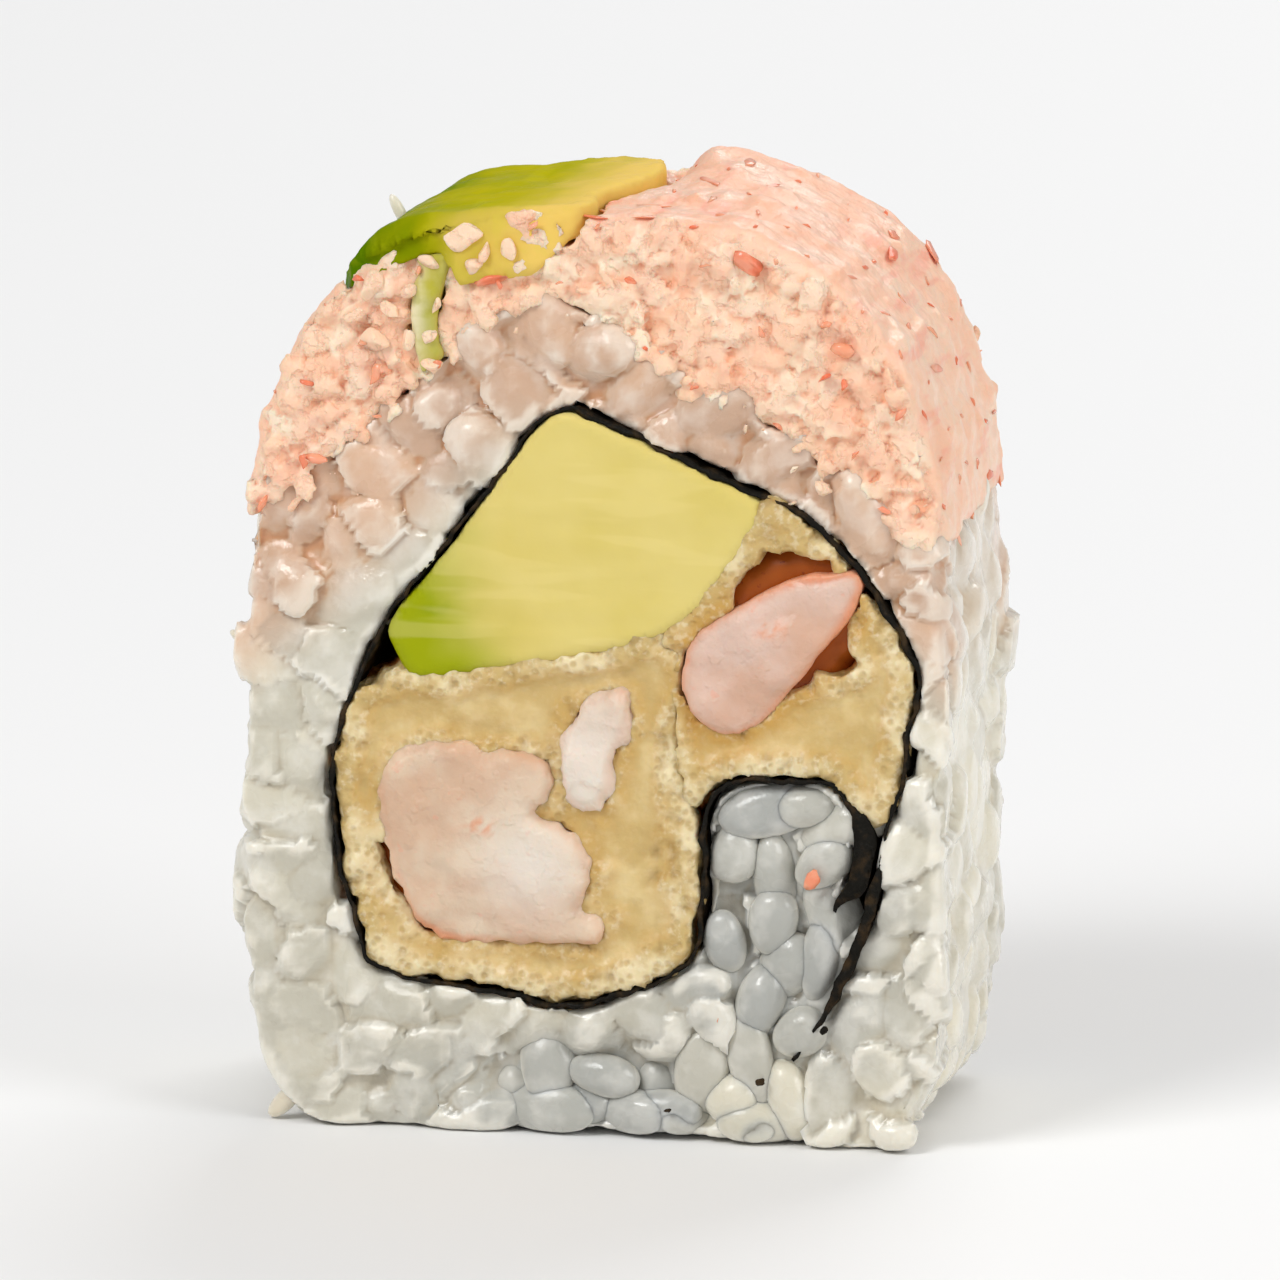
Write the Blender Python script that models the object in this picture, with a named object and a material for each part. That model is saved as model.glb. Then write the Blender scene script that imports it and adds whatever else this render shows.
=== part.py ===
"""One cut piece of an inside-out sushi roll, standing on its rolled side.

The roll's axis runs along Y, and the cut faces look along -Y (the front) and +Y (the back). Outlines are drawn on
the front cut face, in millimetres: X to the right and Z up from the flat that the piece rests on. Every filling runs
through from face to face. Run it with: blender --background --python part.py
"""

import math
import random

import bmesh
import bpy
from mathutils import Matrix, Vector

MM = 0.001

# The whole piece
LEFT_HALF = 20.3
RIGHT_HALF = 19.8
HEIGHT = 51.6
DEPTH = 21.6
BASE_DROP = 0.7  # how far the full outline dips below the flat base, which makes the base flat
LEFT_SHOULDER = 2.8  # exponents of the outline's four quarters: 2 is an ellipse, more is boxier
RIGHT_SHOULDER = 2.8
LEFT_FOOT = 5.0
RIGHT_FOOT = 6.0
FACE = DEPTH / 2
EASE = 0.8  # how far the cut edges are rounded

# Between neighbours, and the seaweed sheet
GAP = 0.3
NORI_THICK = 0.5
NORI_SHORT = 0.1  # the sheet's cut edge lies this far behind the cut face

# One cooked grain: half its length, width and thickness
GRAIN = (3.0, 1.6, 1.45)
GRAIN_VARIES = 0.12
RICE_SEED = 7
RICE_BACK = 1.0  # the rice core lies this far behind the cut faces' grains
SIDE_BACK = 0.5  # and this far inside the side's grains
FACE_GRAIN_STEP = 3.5
SIDE_GRAIN_STEP = 3.8
SIDE_ROWS = 5
FOOT = 1.6  # below this height the core drops straight to the flat base

# The crab topping
CRUMB_SEED = 23
TOPPING_PROUD = 0.15
CRUMB_BACK = 0.6  # the topping's core lies this far inside its crumbly cut faces
FACE_LUMP_STEP = 3.5
TOP_LUMP_STEP = 5.6
LUMP = (1.5, 1.2, 0.9)
RED_CHIP = (0.95, 0.5, 0.3)

# Control points on the front face. Curves run near them, as a quadratic spline does.
NORI_PATH = [
    (13.4, 13.5), (14.5, 15.5), (14.8, 17.8), (14.2, 19.7), (12.9, 20.9), (10.9, 20.5), (8.7, 20.9), (6.7, 20.1),
    (5.9, 18.1), (6.2, 15.8), (5.9, 13.2), (5.8, 11.0), (4.7, 9.6), (2.2, 8.5), (-1.9, 7.1), (-5.5, 8.1),
    (-12.8, 8.7), (-13.6, 11.5), (-14.6, 14.6), (-15.1, 19.5), (-14.5, 23.0), (-13.2, 26.0), (-11.7, 29.2),
    (-8.3, 33.4), (-5.4, 37.2), (-3.6, 39.9), (-2.1, 41.0), (-0.1, 40.6), (7.3, 37.2), (10.8, 36.1),
    (13.3, 34.3), (16.4, 30.3), (18.2, 27.2), (18.2, 25.6), (17.4, 23.9), (17.5, 21.4), (16.5, 19.0),
    (16.1, 16.7), (15.7, 13.5), (14.0, 9.2), (11.1, 5.0),
]
NORI_OVERLAP = 38  # the control point of the outer turn that lies beside the inner end
AVOCADO = [
    (-2.3, 40.7), (-0.4, 40.7), (3.0, 39.0), (8.2, 36.6), (9.1, 35.9), (8.9, 35.2), (7.1, 32.5), (5.3, 29.9),
    (3.0, 28.5), (-0.1, 27.7), (-5.2, 26.7), (-9.6, 25.9), (-10.3, 25.8), (-10.7, 26.5), (-11.4, 27.9),
    (-11.4, 28.6), (-8.4, 32.0), (-5.4, 36.3), (-3.6, 39.4),
]
BATTER_LARGE = [
    (-13.6, 24.6), (-15.2, 22.2), (-15.3, 19.0), (-13.7, 18.0), (-13.9, 16.0), (-14.2, 14.0), (-13.6, 11.0),
    (-13.2, 8.2), (-9.1, 7.6), (-4.4, 7.0), (-1.4, 6.4), (2.2, 7.8), (5.0, 8.9), (6.2, 10.6), (5.8, 13.1),
    (6.4, 15.8), (5.3, 18.3), (4.7, 20.8), (4.1, 23.9), (4.3, 27.0), (3.6, 29.4), (-0.1, 28.2), (-5.2, 27.4),
    (-9.9, 26.2), (-12.0, 25.2),
]
SHRIMP_LARGE = [
    (-12.2, 18.8), (-11.8, 20.8), (-10.4, 21.7), (-7.1, 22.0), (-6.5, 21.0), (-5.0, 21.8), (-2.9, 21.2),
    (-2.3, 19.6), (-4.2, 18.1), (-2.4, 17.7), (-0.7, 16.2), (-0.4, 14.0), (-1.6, 12.8), (0.3, 12.2), (0.1, 10.9),
    (-2.5, 11.2), (-5.2, 11.1), (-8.4, 10.9), (-10.0, 11.9), (-11.0, 13.9), (-11.8, 16.2),
]
SHRIMP_SCRAP = [
    (-2.0, 21.5), (-1.5, 23.6), (0.2, 25.1), (2.0, 25.1), (1.9, 23.6), (0.8, 22.0), (0.6, 19.6), (-0.5, 18.4),
    (-1.6, 19.2),
]
SHRIMP_POCKET = [(-13.2, 16.6), (-11.8, 16.6), (-10.6, 13.6), (-8.4, 11.6), (-8.6, 10.5), (-10.4, 11.0), (-12.0, 13.2)]
BATTER_SMALL = [
    (8.4, 36.9), (11.2, 36.4), (13.9, 34.4), (15.9, 32.4), (17.2, 30.0), (19.0, 27.2), (18.9, 25.4), (17.5, 23.9),
    (17.8, 21.4), (17.1, 19.4), (15.9, 18.2), (14.3, 20.0), (13.1, 21.0), (11.2, 20.6), (8.7, 21.2), (6.4, 20.3),
    (5.3, 18.4), (4.2, 19.6), (4.2, 22.4), (3.7, 24.7), (3.4, 28.6), (4.9, 30.4), (6.4, 32.6),
]
SHRIMP_SMALL = [
    (4.9, 26.9), (5.4, 28.5), (7.3, 29.8), (9.2, 31.3), (11.2, 32.2), (13.3, 32.3), (14.9, 32.0), (14.4, 30.2),
    (12.9, 28.0), (11.2, 25.7), (9.8, 24.3), (8.4, 23.3), (6.9, 23.1), (5.5, 24.1), (4.9, 25.3),
]
POCKET_DEPTH = 6.0
UPPER_POCKET = [(7.0, 29.4), (7.7, 32.6), (9.2, 33.6), (11.4, 34.0), (14.4, 32.2), (11.2, 31.0)]
LOWER_POCKET = [(9.6, 24.4), (12.2, 26.0), (15.2, 26.9), (14.5, 28.2), (14.7, 31.2), (12.4, 28.4)]
# Where the rice ends and the crab topping begins, from beyond the left side to beyond the right
SEAM = [
    (-26.0, 30.0), (-20.4, 33.2), (-14.9, 37.7), (-11.4, 41.0), (-8.8, 43.2), (-6.3, 45.9), (-3.6, 47.2),
    (-0.1, 46.2), (3.0, 43.7), (6.1, 42.4), (11.6, 38.9), (17.0, 35.3), (20.5, 33.0), (26.0, 31.0),
]

# The avocado slice that lies on top, as seen from above, with Y from the roll's middle
TOP_SLICE = [
    (-13.9, -10.7), (-15.4, -5.5), (-15.8, 2.0), (-14.2, 8.2), (-9.5, 10.5), (-4.0, 10.5), (0.2, 8.6), (1.0, 3.0),
    (0.2, -1.0), (-1.3, -5.0), (-0.2, -8.2), (-1.6, -10.5), (-5.0, -10.3), (-9.0, -11.0),
]
TOP_SLICE_THICK = 1.8
TOP_SLICE_PROUD = 0.55
# The second slice stands on edge under the first, and only its cut end shows
EDGE_SLICE_PATH = [(-9.2, 42.7), (-9.8, 44.6), (-9.7, 46.6), (-9.1, 48.4), (-8.5, 51.5)]
EDGE_SLICE_THICK = 1.5
EDGE_SLICE_DEPTH = 5.0


def bent(points, closed, steps=3):
    """A quadratic spline along control points, as a list of points."""
    count = len(points)
    line = [] if closed else [points[0]]
    for i in range(count) if closed else range(1, count - 1):
        before, here, after = points[i - 1], points[i], points[(i + 1) % count]
        start = [(a + b) / 2 for a, b in zip(before, here)]
        end = [(a + b) / 2 for a, b in zip(here, after)]
        for step in range(steps):
            t = (step + 0.5) / steps
            line.append(tuple((1 - t) ** 2 * s + 2 * t * (1 - t) * h + t * t * e for s, h, e in zip(start, here, end)))
    return line if closed else line + [points[-1]]


def signed_area(loop):
    return sum(a[0] * b[1] - b[0] * a[1] for a, b in zip(loop, loop[1:] + loop[:1])) / 2


def shifted(line, distance, closed):
    """The line moved sideways, to its left for a positive distance."""
    count = len(line)
    moved = []
    for i, (x, z) in enumerate(line):
        before = line[i - 1] if closed or i > 0 else line[i]
        after = line[(i + 1) % count] if closed or i < count - 1 else line[i]
        along = Vector((after[0] - before[0], after[1] - before[1])).normalized()
        moved.append((x - along.y * distance, z + along.x * distance))
    return moved


def lengthened(line, extra):
    """An open line with both its ends moved outward."""
    ends = []
    for end, inner in ((line[0], line[1]), (line[-1], line[-2])):
        away = Vector((end[0] - inner[0], end[1] - inner[1])).normalized() * extra
        ends.append((end[0] + away.x, end[1] + away.y))
    return [ends[0], *line[1:-1], ends[1]]


def grown(loop, distance):
    """A closed loop made larger all round, or smaller for a negative distance."""
    return shifted(loop, -distance if signed_area(loop) > 0 else distance, True)


def inside(loop, x, z):
    """True if the point lies within the closed loop."""
    crossed = False
    for (xa, za), (xb, zb) in zip(loop, loop[1:] + loop[:1]):
        if (za > z) != (zb > z) and x < (xb - xa) * (z - za) / (zb - za) + xa:
            crossed = not crossed
    return crossed


def outline(proud=0.0, count=88):
    """The roll's outer outline: four quarters of a superellipse, cut flat at the base."""
    half_height = (HEIGHT + BASE_DROP) / 2
    middle = half_height - BASE_DROP
    loop = []
    for i in range(count):
        angle = 2 * math.pi * (i + 0.5) / count
        c, s = math.cos(angle), math.sin(angle)
        if s > 0:
            power = RIGHT_SHOULDER if c > 0 else LEFT_SHOULDER
        else:
            power = RIGHT_FOOT if c > 0 else LEFT_FOOT
        half_width = RIGHT_HALF if c > 0 else LEFT_HALF
        x = math.copysign(abs(c) ** (2 / power), c) * (half_width + proud)
        z = middle + math.copysign(abs(s) ** (2 / power), s) * (half_height + proud)
        loop.append((x, max(z, 0.0)))
    return loop


def top_of(x, proud=0.0):
    """The height of the outline's upper side at x."""
    half_height = (HEIGHT + BASE_DROP) / 2
    power = RIGHT_SHOULDER if x > 0 else LEFT_SHOULDER
    half_width = RIGHT_HALF if x > 0 else LEFT_HALF
    share = min(abs(x) / (half_width + proud), 1.0)
    return half_height - BASE_DROP + (1 - share**power) ** (1 / power) * (half_height + proud)


def nori_line():
    return bent(NORI_PATH, False, 2)


def nori_loop(extra=0.0):
    """The seaweed sheet's section, or that section with a margin round it."""
    line = lengthened(nori_line(), extra)
    half = NORI_THICK / 2 + extra
    return shifted(line, half, False) + shifted(line, -half, False)[::-1]


def pocket_loop():
    """The room inside the seaweed, for the fillings, with a gap all along the sheet."""
    beside = 2 * NORI_OVERLAP + 1
    return shifted(lengthened(nori_line(), GAP), -NORI_THICK / 2 - GAP, False)[:beside]


def wrapped_loop(margin):
    """All that the seaweed wraps, with the sheet and a margin: the hole through the rice."""
    line = lengthened(nori_line(), margin)
    beside = 2 * NORI_OVERLAP + 1
    half = NORI_THICK / 2 + margin
    return shifted(line, half, False) + shifted(line, -half, False)[: beside - 1 : -1]


def below_seam(margin):
    """A large area under the seam between rice and topping, with the seam moved up by the margin."""
    seam = [(x, z + margin) for x, z in bent(SEAM, False, 2)]
    return [(seam[0][0], -20.0), *seam, (seam[-1][0], -20.0)]


def drifted(point):
    """The roll isn't quite straight: its section drifts and turns a little towards the back face."""
    x, y, z = point
    share = (y + FACE) / DEPTH
    lift = z / HEIGHT
    x_drift = 0.6 * lift * lift - 1.2
    z_drift = lift * (0.7 * math.sin(x / 9.0) - 0.4)
    lean = 1 + 0.025 * (0.5 - lift)
    return Vector((x + share * x_drift, y * lean, z + share * z_drift))


def new_object(name, mesh):
    made = bpy.data.objects.new(name, mesh)
    bpy.context.scene.collection.objects.link(made)
    return made


def object_from(name, shape):
    """An object in millimetres from a bmesh with all its normals outward."""
    bmesh.ops.recalc_face_normals(shape, faces=shape.faces)
    mesh = bpy.data.meshes.new(name)
    shape.to_mesh(mesh)
    shape.free()
    return new_object(name, mesh)


def stacked(name, rings):
    """A closed solid through rings of points, each ring a list of (x, y, z)."""
    shape = bmesh.new()
    made = [[shape.verts.new(point) for point in ring] for ring in rings]
    for low, high in zip(made, made[1:]):
        for i in range(len(low)):
            shape.faces.new((low[i - 1], low[i], high[i], high[i - 1]))
    shape.faces.new(made[0])
    shape.faces.new(made[-1][::-1])
    return object_from(name, shape)


def prism(name, loop, front=-FACE, back=FACE, ease=0.0):
    """A section run from front to back, with its end edges eased by a small slope."""
    if not ease:
        return stacked(name, [[(x, y, z) for x, z in loop] for y in (front, back)])
    small = grown(loop, -ease)
    levels = [(front, small), (front + ease, loop), (back - ease, loop), (back, small)]
    return stacked(name, [[(x, y, max(z, 0.0)) for x, z in ring] for y, ring in levels])


def combine(target, operation, others):
    """Joins the others to the target, or cuts or keeps by them, and removes them."""
    pile = bpy.data.collections.new("pile")
    bpy.context.scene.collection.children.link(pile)
    for other in others:
        bpy.context.scene.collection.objects.unlink(other)
        pile.objects.link(other)
    modifier = target.modifiers.new(operation.lower(), "BOOLEAN")
    modifier.operation = operation
    modifier.solver = "EXACT"
    modifier.operand_type = "COLLECTION"
    modifier.collection = pile
    graph = bpy.context.evaluated_depsgraph_get()
    result = bpy.data.meshes.new_from_object(target.evaluated_get(graph))
    target.modifiers.clear()
    target.data = result
    for other in others:
        bpy.data.objects.remove(other)
    bpy.data.collections.remove(pile)
    return target


def tidied(target):
    """Keeps only the largest shell: sealed hollows are filled and loose scraps dropped."""
    shape = bmesh.new()
    shape.from_mesh(target.data)
    bmesh.ops.triangulate(shape, faces=shape.faces)
    waiting = set(shape.faces)
    shells = []
    while waiting:
        reached = [waiting.pop()]
        for face in reached:
            for edge in face.edges:
                for other in edge.link_faces:
                    if other in waiting and len(edge.link_faces) == 2:
                        waiting.remove(other)
                        reached.append(other)
        shells.append(reached)
    shells.sort(key=len)
    bmesh.ops.delete(shape, geom=[face for shell in shells[:-1] for face in shell], context="FACES")
    shape.to_mesh(target.data)
    shape.free()
    return target


def pebble(name, centre, turn, radii, roughness=0.0, draw=None):
    """A twenty-sided pebble with these radii, turned and moved into place."""
    shape = bmesh.new()
    bmesh.ops.create_icosphere(shape, subdivisions=1, radius=1.0)
    for vertex in shape.verts:
        reach = 1.0 + (draw.uniform(-roughness, roughness) if roughness else 0.0)
        local = Vector([c * r * reach for c, r in zip(vertex.co, radii)])
        vertex.co = turn @ local + centre
        vertex.co.z = max(vertex.co.z, 0.02)
    return object_from(name, shape)


def reach_along(turn, radii, direction):
    """How far an ellipsoid with these radii reaches from its centre in a direction."""
    return math.sqrt(sum((turn.col[i].dot(direction) * radii[i]) ** 2 for i in range(3)))


def varied(radii, draw, share):
    return [r * draw.uniform(1 - share, 1 + share) for r in radii]


def scattered(step, draw, accept):
    """Points of a jittered triangular grid over the section, where accept(x, z) is true."""
    points = []
    row = 0
    z = 0.6
    while z < HEIGHT + 2:
        x = -LEFT_HALF - 2 + (step / 2 if row % 2 else 0.0)
        while x < RIGHT_HALF + 2:
            px = x + draw.uniform(-0.28, 0.28) * step
            pz = z + draw.uniform(-0.22, 0.22) * step
            if accept(px, pz):
                points.append((px, pz))
            x += step
        z += step * 0.87
        row += 1
    return points


def along_outline(step, proud, wanted, ahead=0.0):
    """Points on the outer outline a step apart, each with its outward direction, where wanted(x, z) is true."""
    loop = outline(proud)
    places = []
    for i in range(len(loop)):
        start = Vector((loop[i - 1][0], 0.0, loop[i - 1][1]))
        side = Vector((loop[i][0], 0.0, loop[i][1])) - start
        while ahead < side.length:
            spot = start + side.normalized() * ahead
            if wanted(spot.x, spot.z):
                places.append((spot.x, spot.z, Vector((side.z, 0.0, -side.x)).normalized()))
            ahead += step
        ahead -= side.length
    return places


def side_turn(outward, angle):
    """A rotation that lays X along the surface, at an angle from the roll's axis, and Z along outward."""
    along = Vector((0.0, 1.0, 0.0))
    across = outward.cross(along)
    first = (along * math.cos(angle) + across * math.sin(angle)).normalized()
    second = outward.cross(first)
    return Matrix((first, second, outward)).transposed()


def kept_in(centre, turn, radii):
    """The centre moved inward as far as a grain there would stand out of the roll's side."""
    loop = outline(0.0, 120)
    nearest = min(range(len(loop)), key=lambda i: (loop[i][0] - centre.x) ** 2 + (loop[i][1] - centre.z) ** 2)
    (xa, za), (xb, zb) = loop[nearest - 1], loop[(nearest + 1) % len(loop)]
    outward = Vector((zb - za, 0.0, xa - xb)).normalized()
    depth = (Vector((loop[nearest][0], 0.0, loop[nearest][1])) - centre).dot(outward)
    return centre - outward * max(0.0, reach_along(turn, radii, outward) - depth - 0.2)


def rice_grains():
    """Each grain that shows, as (centre, turn, radii): on both cut faces, then round the side."""
    draw = random.Random(RICE_SEED)
    hole = wrapped_loop(0.75)
    body = grown(outline(), -1.15)
    cover = below_seam(-1.0)
    grains = []

    def in_rice(x, z):
        return inside(body, x, max(z, FOOT)) and inside(cover, x, z) and not inside(hole, x, z)

    for side in (-1, 1):
        for x, z in scattered(FACE_GRAIN_STEP, draw, in_rice):
            radii = varied(GRAIN, draw, GRAIN_VARIES)
            turn = (
                Matrix.Rotation(draw.uniform(0, math.pi), 3, "Y")
                @ Matrix.Rotation(draw.uniform(-0.9, 0.9), 3, "Z")
                @ Matrix.Rotation(draw.uniform(0, math.pi), 3, "X")
            )
            reach = reach_along(turn, radii, Vector((0, 1, 0)))
            y = side * (FACE + draw.uniform(-0.2, 0.2) - reach)
            grains.append((kept_in(Vector((x, y, z)), turn, radii), turn, radii))
    pitch = DEPTH / SIDE_ROWS

    def on_side(x, z):
        return z > 0.9 and inside(cover, x * 0.98, z)

    for row in range(SIDE_ROWS):
        for x, z, outward in along_outline(SIDE_GRAIN_STEP, 0.0, on_side, draw.uniform(0, SIDE_GRAIN_STEP)):
            radii = varied(GRAIN, draw, GRAIN_VARIES)
            turn = side_turn(outward, draw.uniform(0, math.pi))
            y = (row + 0.5) * pitch - FACE + draw.uniform(-0.9, 0.9)
            most = FACE - 0.1 - reach_along(turn, radii, Vector((0, 1, 0)))
            y = max(-most, min(most, y))
            sunk = radii[2] - draw.uniform(0.0, 0.3)
            grains.append((Vector((x, y, z)) - outward * sunk, turn, radii))
    return grains


def make_rice():
    loop = [(x, z if z > FOOT else 0.0) for x, z in outline(-SIDE_BACK, 60)]
    core = prism("rice", loop, -FACE + RICE_BACK, FACE - RICE_BACK, EASE)
    grains = [pebble(f"grain_{i}", *place) for i, place in enumerate(rice_grains())]
    rice = combine(core, "UNION", grains)
    hole = prism("hole", wrapped_loop(GAP), -2 * FACE, 2 * FACE)
    above = prism("above", [(-30.0, 70.0), *below_seam(-GAP / 2)[1:-1], (30.0, 70.0)], -2 * FACE, 2 * FACE)
    return tidied(combine(rice, "DIFFERENCE", [hole, above]))


def topping_lumps():
    """Crumbs of crab meat that stand out of the topping, as (centre, turn, radii, roughness)."""
    draw = random.Random(CRUMB_SEED)
    body = grown(outline(TOPPING_PROUD), -1.0)
    under = below_seam(1.1)
    lumps = []
    for side in (-1, 1):
        for x, z in scattered(FACE_LUMP_STEP, draw, lambda x, z: inside(body, x, z) and not inside(under, x, z)):
            radii = varied(LUMP, draw, 0.3)
            turn = Matrix.Rotation(draw.uniform(0, math.pi), 3, "Y")
            y = side * (FACE + draw.uniform(-0.4, 0.3) - radii[1])
            lumps.append((Vector((x, y, z)), turn, radii, 0.22))
    places = along_outline(TOP_LUMP_STEP, TOPPING_PROUD, lambda x, z: not inside(under, x, z))
    for x, z, outward in places:
        for y in (-7.6, -2.6, 2.4, 7.4):
            radii = varied((2.2, 1.8, 0.8), draw, 0.25)
            centre = Vector((x, y + draw.uniform(-1.2, 1.2), z)) - outward * (radii[2] - draw.uniform(0.2, 0.6))
            lumps.append((centre, side_turn(outward, draw.uniform(0, math.pi)), radii, 0.12))
    return lumps


def red_chips():
    """The largest flakes of red crab skin, flat on the topping's outer side."""
    draw = random.Random(CRUMB_SEED + 1)
    under = below_seam(2.5)
    chips = []
    for x, z, outward in along_outline(5.4, TOPPING_PROUD, lambda x, z: not inside(under, x, z)):
        y = draw.uniform(-8.5, 8.5)
        centre = Vector((x, y, z)) + outward * 0.12
        chips.append((centre, side_turn(outward, draw.uniform(0, math.pi)), varied(RED_CHIP, draw, 0.2), 0.15))
    return chips


def make_topping():
    core = prism("crab_topping", outline(TOPPING_PROUD, 60), -FACE + CRUMB_BACK, FACE - CRUMB_BACK, EASE)
    draw = random.Random(CRUMB_SEED + 2)
    crumbs = topping_lumps() + red_chips()
    lumps = [pebble(f"lump_{i}", *place, draw) for i, place in enumerate(crumbs)]
    topping = combine(core, "UNION", lumps)
    under = prism("under", below_seam(GAP / 2), -2 * FACE, 2 * FACE)
    slices = [top_slice("slice_room", GAP), edge_slice("edge_room", GAP)]
    return tidied(combine(topping, "DIFFERENCE", [under, *slices]))


def top_slice(name, extra=0.0):
    """The slice on top: its outline from above, kept between two heights over the roll."""
    ring = grown(bent(TOP_SLICE, True, 2), extra)
    column = stacked(name, [[(x, y, z) for x, y in ring] for z in (30.0, 70.0)])
    steps = [i * 1.0 - 18.0 for i in range(24)]
    upper = [(x, top_of(x) + TOP_SLICE_PROUD + 20 * extra) for x in steps]
    lower = [(x, top_of(x) + TOP_SLICE_PROUD - TOP_SLICE_THICK - extra) for x in steps]
    band = prism("band", upper + lower[::-1], -2 * FACE, 2 * FACE)
    return combine(column, "INTERSECT", [band])


def edge_slice(name, extra=0.0):
    line = bent(EDGE_SLICE_PATH, False, 3)
    half = EDGE_SLICE_THICK / 2 + extra
    loop = shifted(line, half, False) + shifted(line, -half, False)[::-1]
    if extra:
        return prism(name, loop, -2 * FACE, -FACE + EDGE_SLICE_DEPTH + extra)
    return prism(name, loop, -FACE, -FACE + EDGE_SLICE_DEPTH, 0.2)


def filling(name, points, proud, cutters, pockets=()):
    """A filling that runs through from face to face, kept inside the seaweed and clear of its neighbours."""
    solid = prism(name, bent(points, True, 2), -FACE - proud, FACE + proud, 0.3)
    solid = combine(solid, "INTERSECT", [prism("pocket", pocket_loop(), -2 * FACE, 2 * FACE)])
    if not cutters:
        return solid
    rooms = [prism(f"room_{i}", loop, -2 * FACE, 2 * FACE) for i, loop in enumerate(cutters)]
    for pocket in pockets:
        loop = bent(pocket, True, 2)
        rooms.append(prism("front_pocket", loop, -2 * FACE, -FACE + POCKET_DEPTH))
        rooms.append(prism("back_pocket", loop, FACE - POCKET_DEPTH, 2 * FACE))
    return combine(solid, "DIFFERENCE", rooms)


def make_fillings():
    avocado = grown(bent(AVOCADO, True, 2), GAP)
    large = grown(bent(BATTER_LARGE, True, 2), GAP)
    shrimps = {
        "shrimp_large": SHRIMP_LARGE,
        "shrimp_scrap": SHRIMP_SCRAP,
        "shrimp_small": SHRIMP_SMALL,
    }
    room = {name: grown(bent(points, True, 2), GAP) for name, points in shrimps.items()}
    beside_large = [avocado, room["shrimp_large"], room["shrimp_scrap"]]
    beside_small = [avocado, large, room["shrimp_small"]]
    made = [
        filling("avocado_filling", AVOCADO, 0.1, []),
        filling("batter_large", BATTER_LARGE, -0.15, beside_large, [SHRIMP_POCKET]),
        filling("batter_small", BATTER_SMALL, -0.15, beside_small, [UPPER_POCKET, LOWER_POCKET]),
    ]
    return made + [filling(name, points, 0.2, []) for name, points in shrimps.items()]


def make_nori():
    return prism("nori", nori_loop(), -FACE + NORI_SHORT, FACE - NORI_SHORT)


def material(name, colour, roughness):
    made = bpy.data.materials.new(name)
    made.use_nodes = True
    shader = made.node_tree.nodes["Principled BSDF"]
    shader.inputs["Base Color"].default_value = (*colour, 1.0)
    shader.inputs["Roughness"].default_value = roughness
    shader.inputs["Metallic"].default_value = 0.0
    return made


FINISHES = {
    "rice": ((0.80, 0.78, 0.70), 0.30),
    "nori": ((0.015, 0.017, 0.012), 0.45),
    "avocado_filling": ((0.78, 0.74, 0.26), 0.40),
    "batter_large": ((0.80, 0.62, 0.32), 0.60),
    "batter_small": ((0.78, 0.60, 0.32), 0.60),
    "shrimp_large": ((0.88, 0.72, 0.64), 0.30),
    "shrimp_scrap": ((0.88, 0.80, 0.74), 0.30),
    "shrimp_small": ((0.88, 0.66, 0.60), 0.30),
    "crab_topping": ((0.92, 0.68, 0.54), 0.45),
    "avocado_slice_top": ((0.55, 0.62, 0.14), 0.30),
    "avocado_slice_edge": ((0.60, 0.66, 0.20), 0.30),
}


def finish(pieces):
    """Drifts every piece with the roll, turns it to metres and stands the whole on its base at the origin."""
    for piece in pieces:
        for vertex in piece.data.vertices:
            vertex.co = drifted(vertex.co) * MM
    corners = [v.co for piece in pieces for v in piece.data.vertices]
    middle = [(min(c[i] for c in corners) + max(c[i] for c in corners)) / 2 for i in range(2)]
    base = min(c.z for c in corners)
    for piece in pieces:
        for vertex in piece.data.vertices:
            vertex.co -= Vector((*middle, base))
        piece.data.materials.clear()
        piece.data.materials.append(material(piece.name, *FINISHES[piece.name]))


def main():
    for left_over in list(bpy.data.objects):
        bpy.data.objects.remove(left_over)
    rice_room = prism("rice_room", below_seam(GAP / 2), -2 * FACE, 2 * FACE)
    second_slice = combine(edge_slice("avocado_slice_edge"), "DIFFERENCE", [top_slice("over", GAP), rice_room])
    pieces = [
        make_rice(),
        make_nori(),
        *make_fillings(),
        make_topping(),
        top_slice("avocado_slice_top"),
        second_slice,
    ]
    finish(pieces)


main()
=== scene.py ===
# %% [markdown]
# # One piece of an inside-out sushi roll
#
# This lesson dresses a plain solid model of a cut roll: rice outside, a crab topping with avocado, and two battered
# shrimps with avocado inside a sheet of seaweed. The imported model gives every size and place. Each solid is then
# either remeshed finely and roughened, or replaced by the many small things that it stands for.

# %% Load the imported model
import math
import random

import bmesh
import bpy
import numpy as np
from mathutils import Matrix, Vector, noise
from mathutils.bvhtree import BVHTree
from mathutils.kdtree import KDTree


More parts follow.
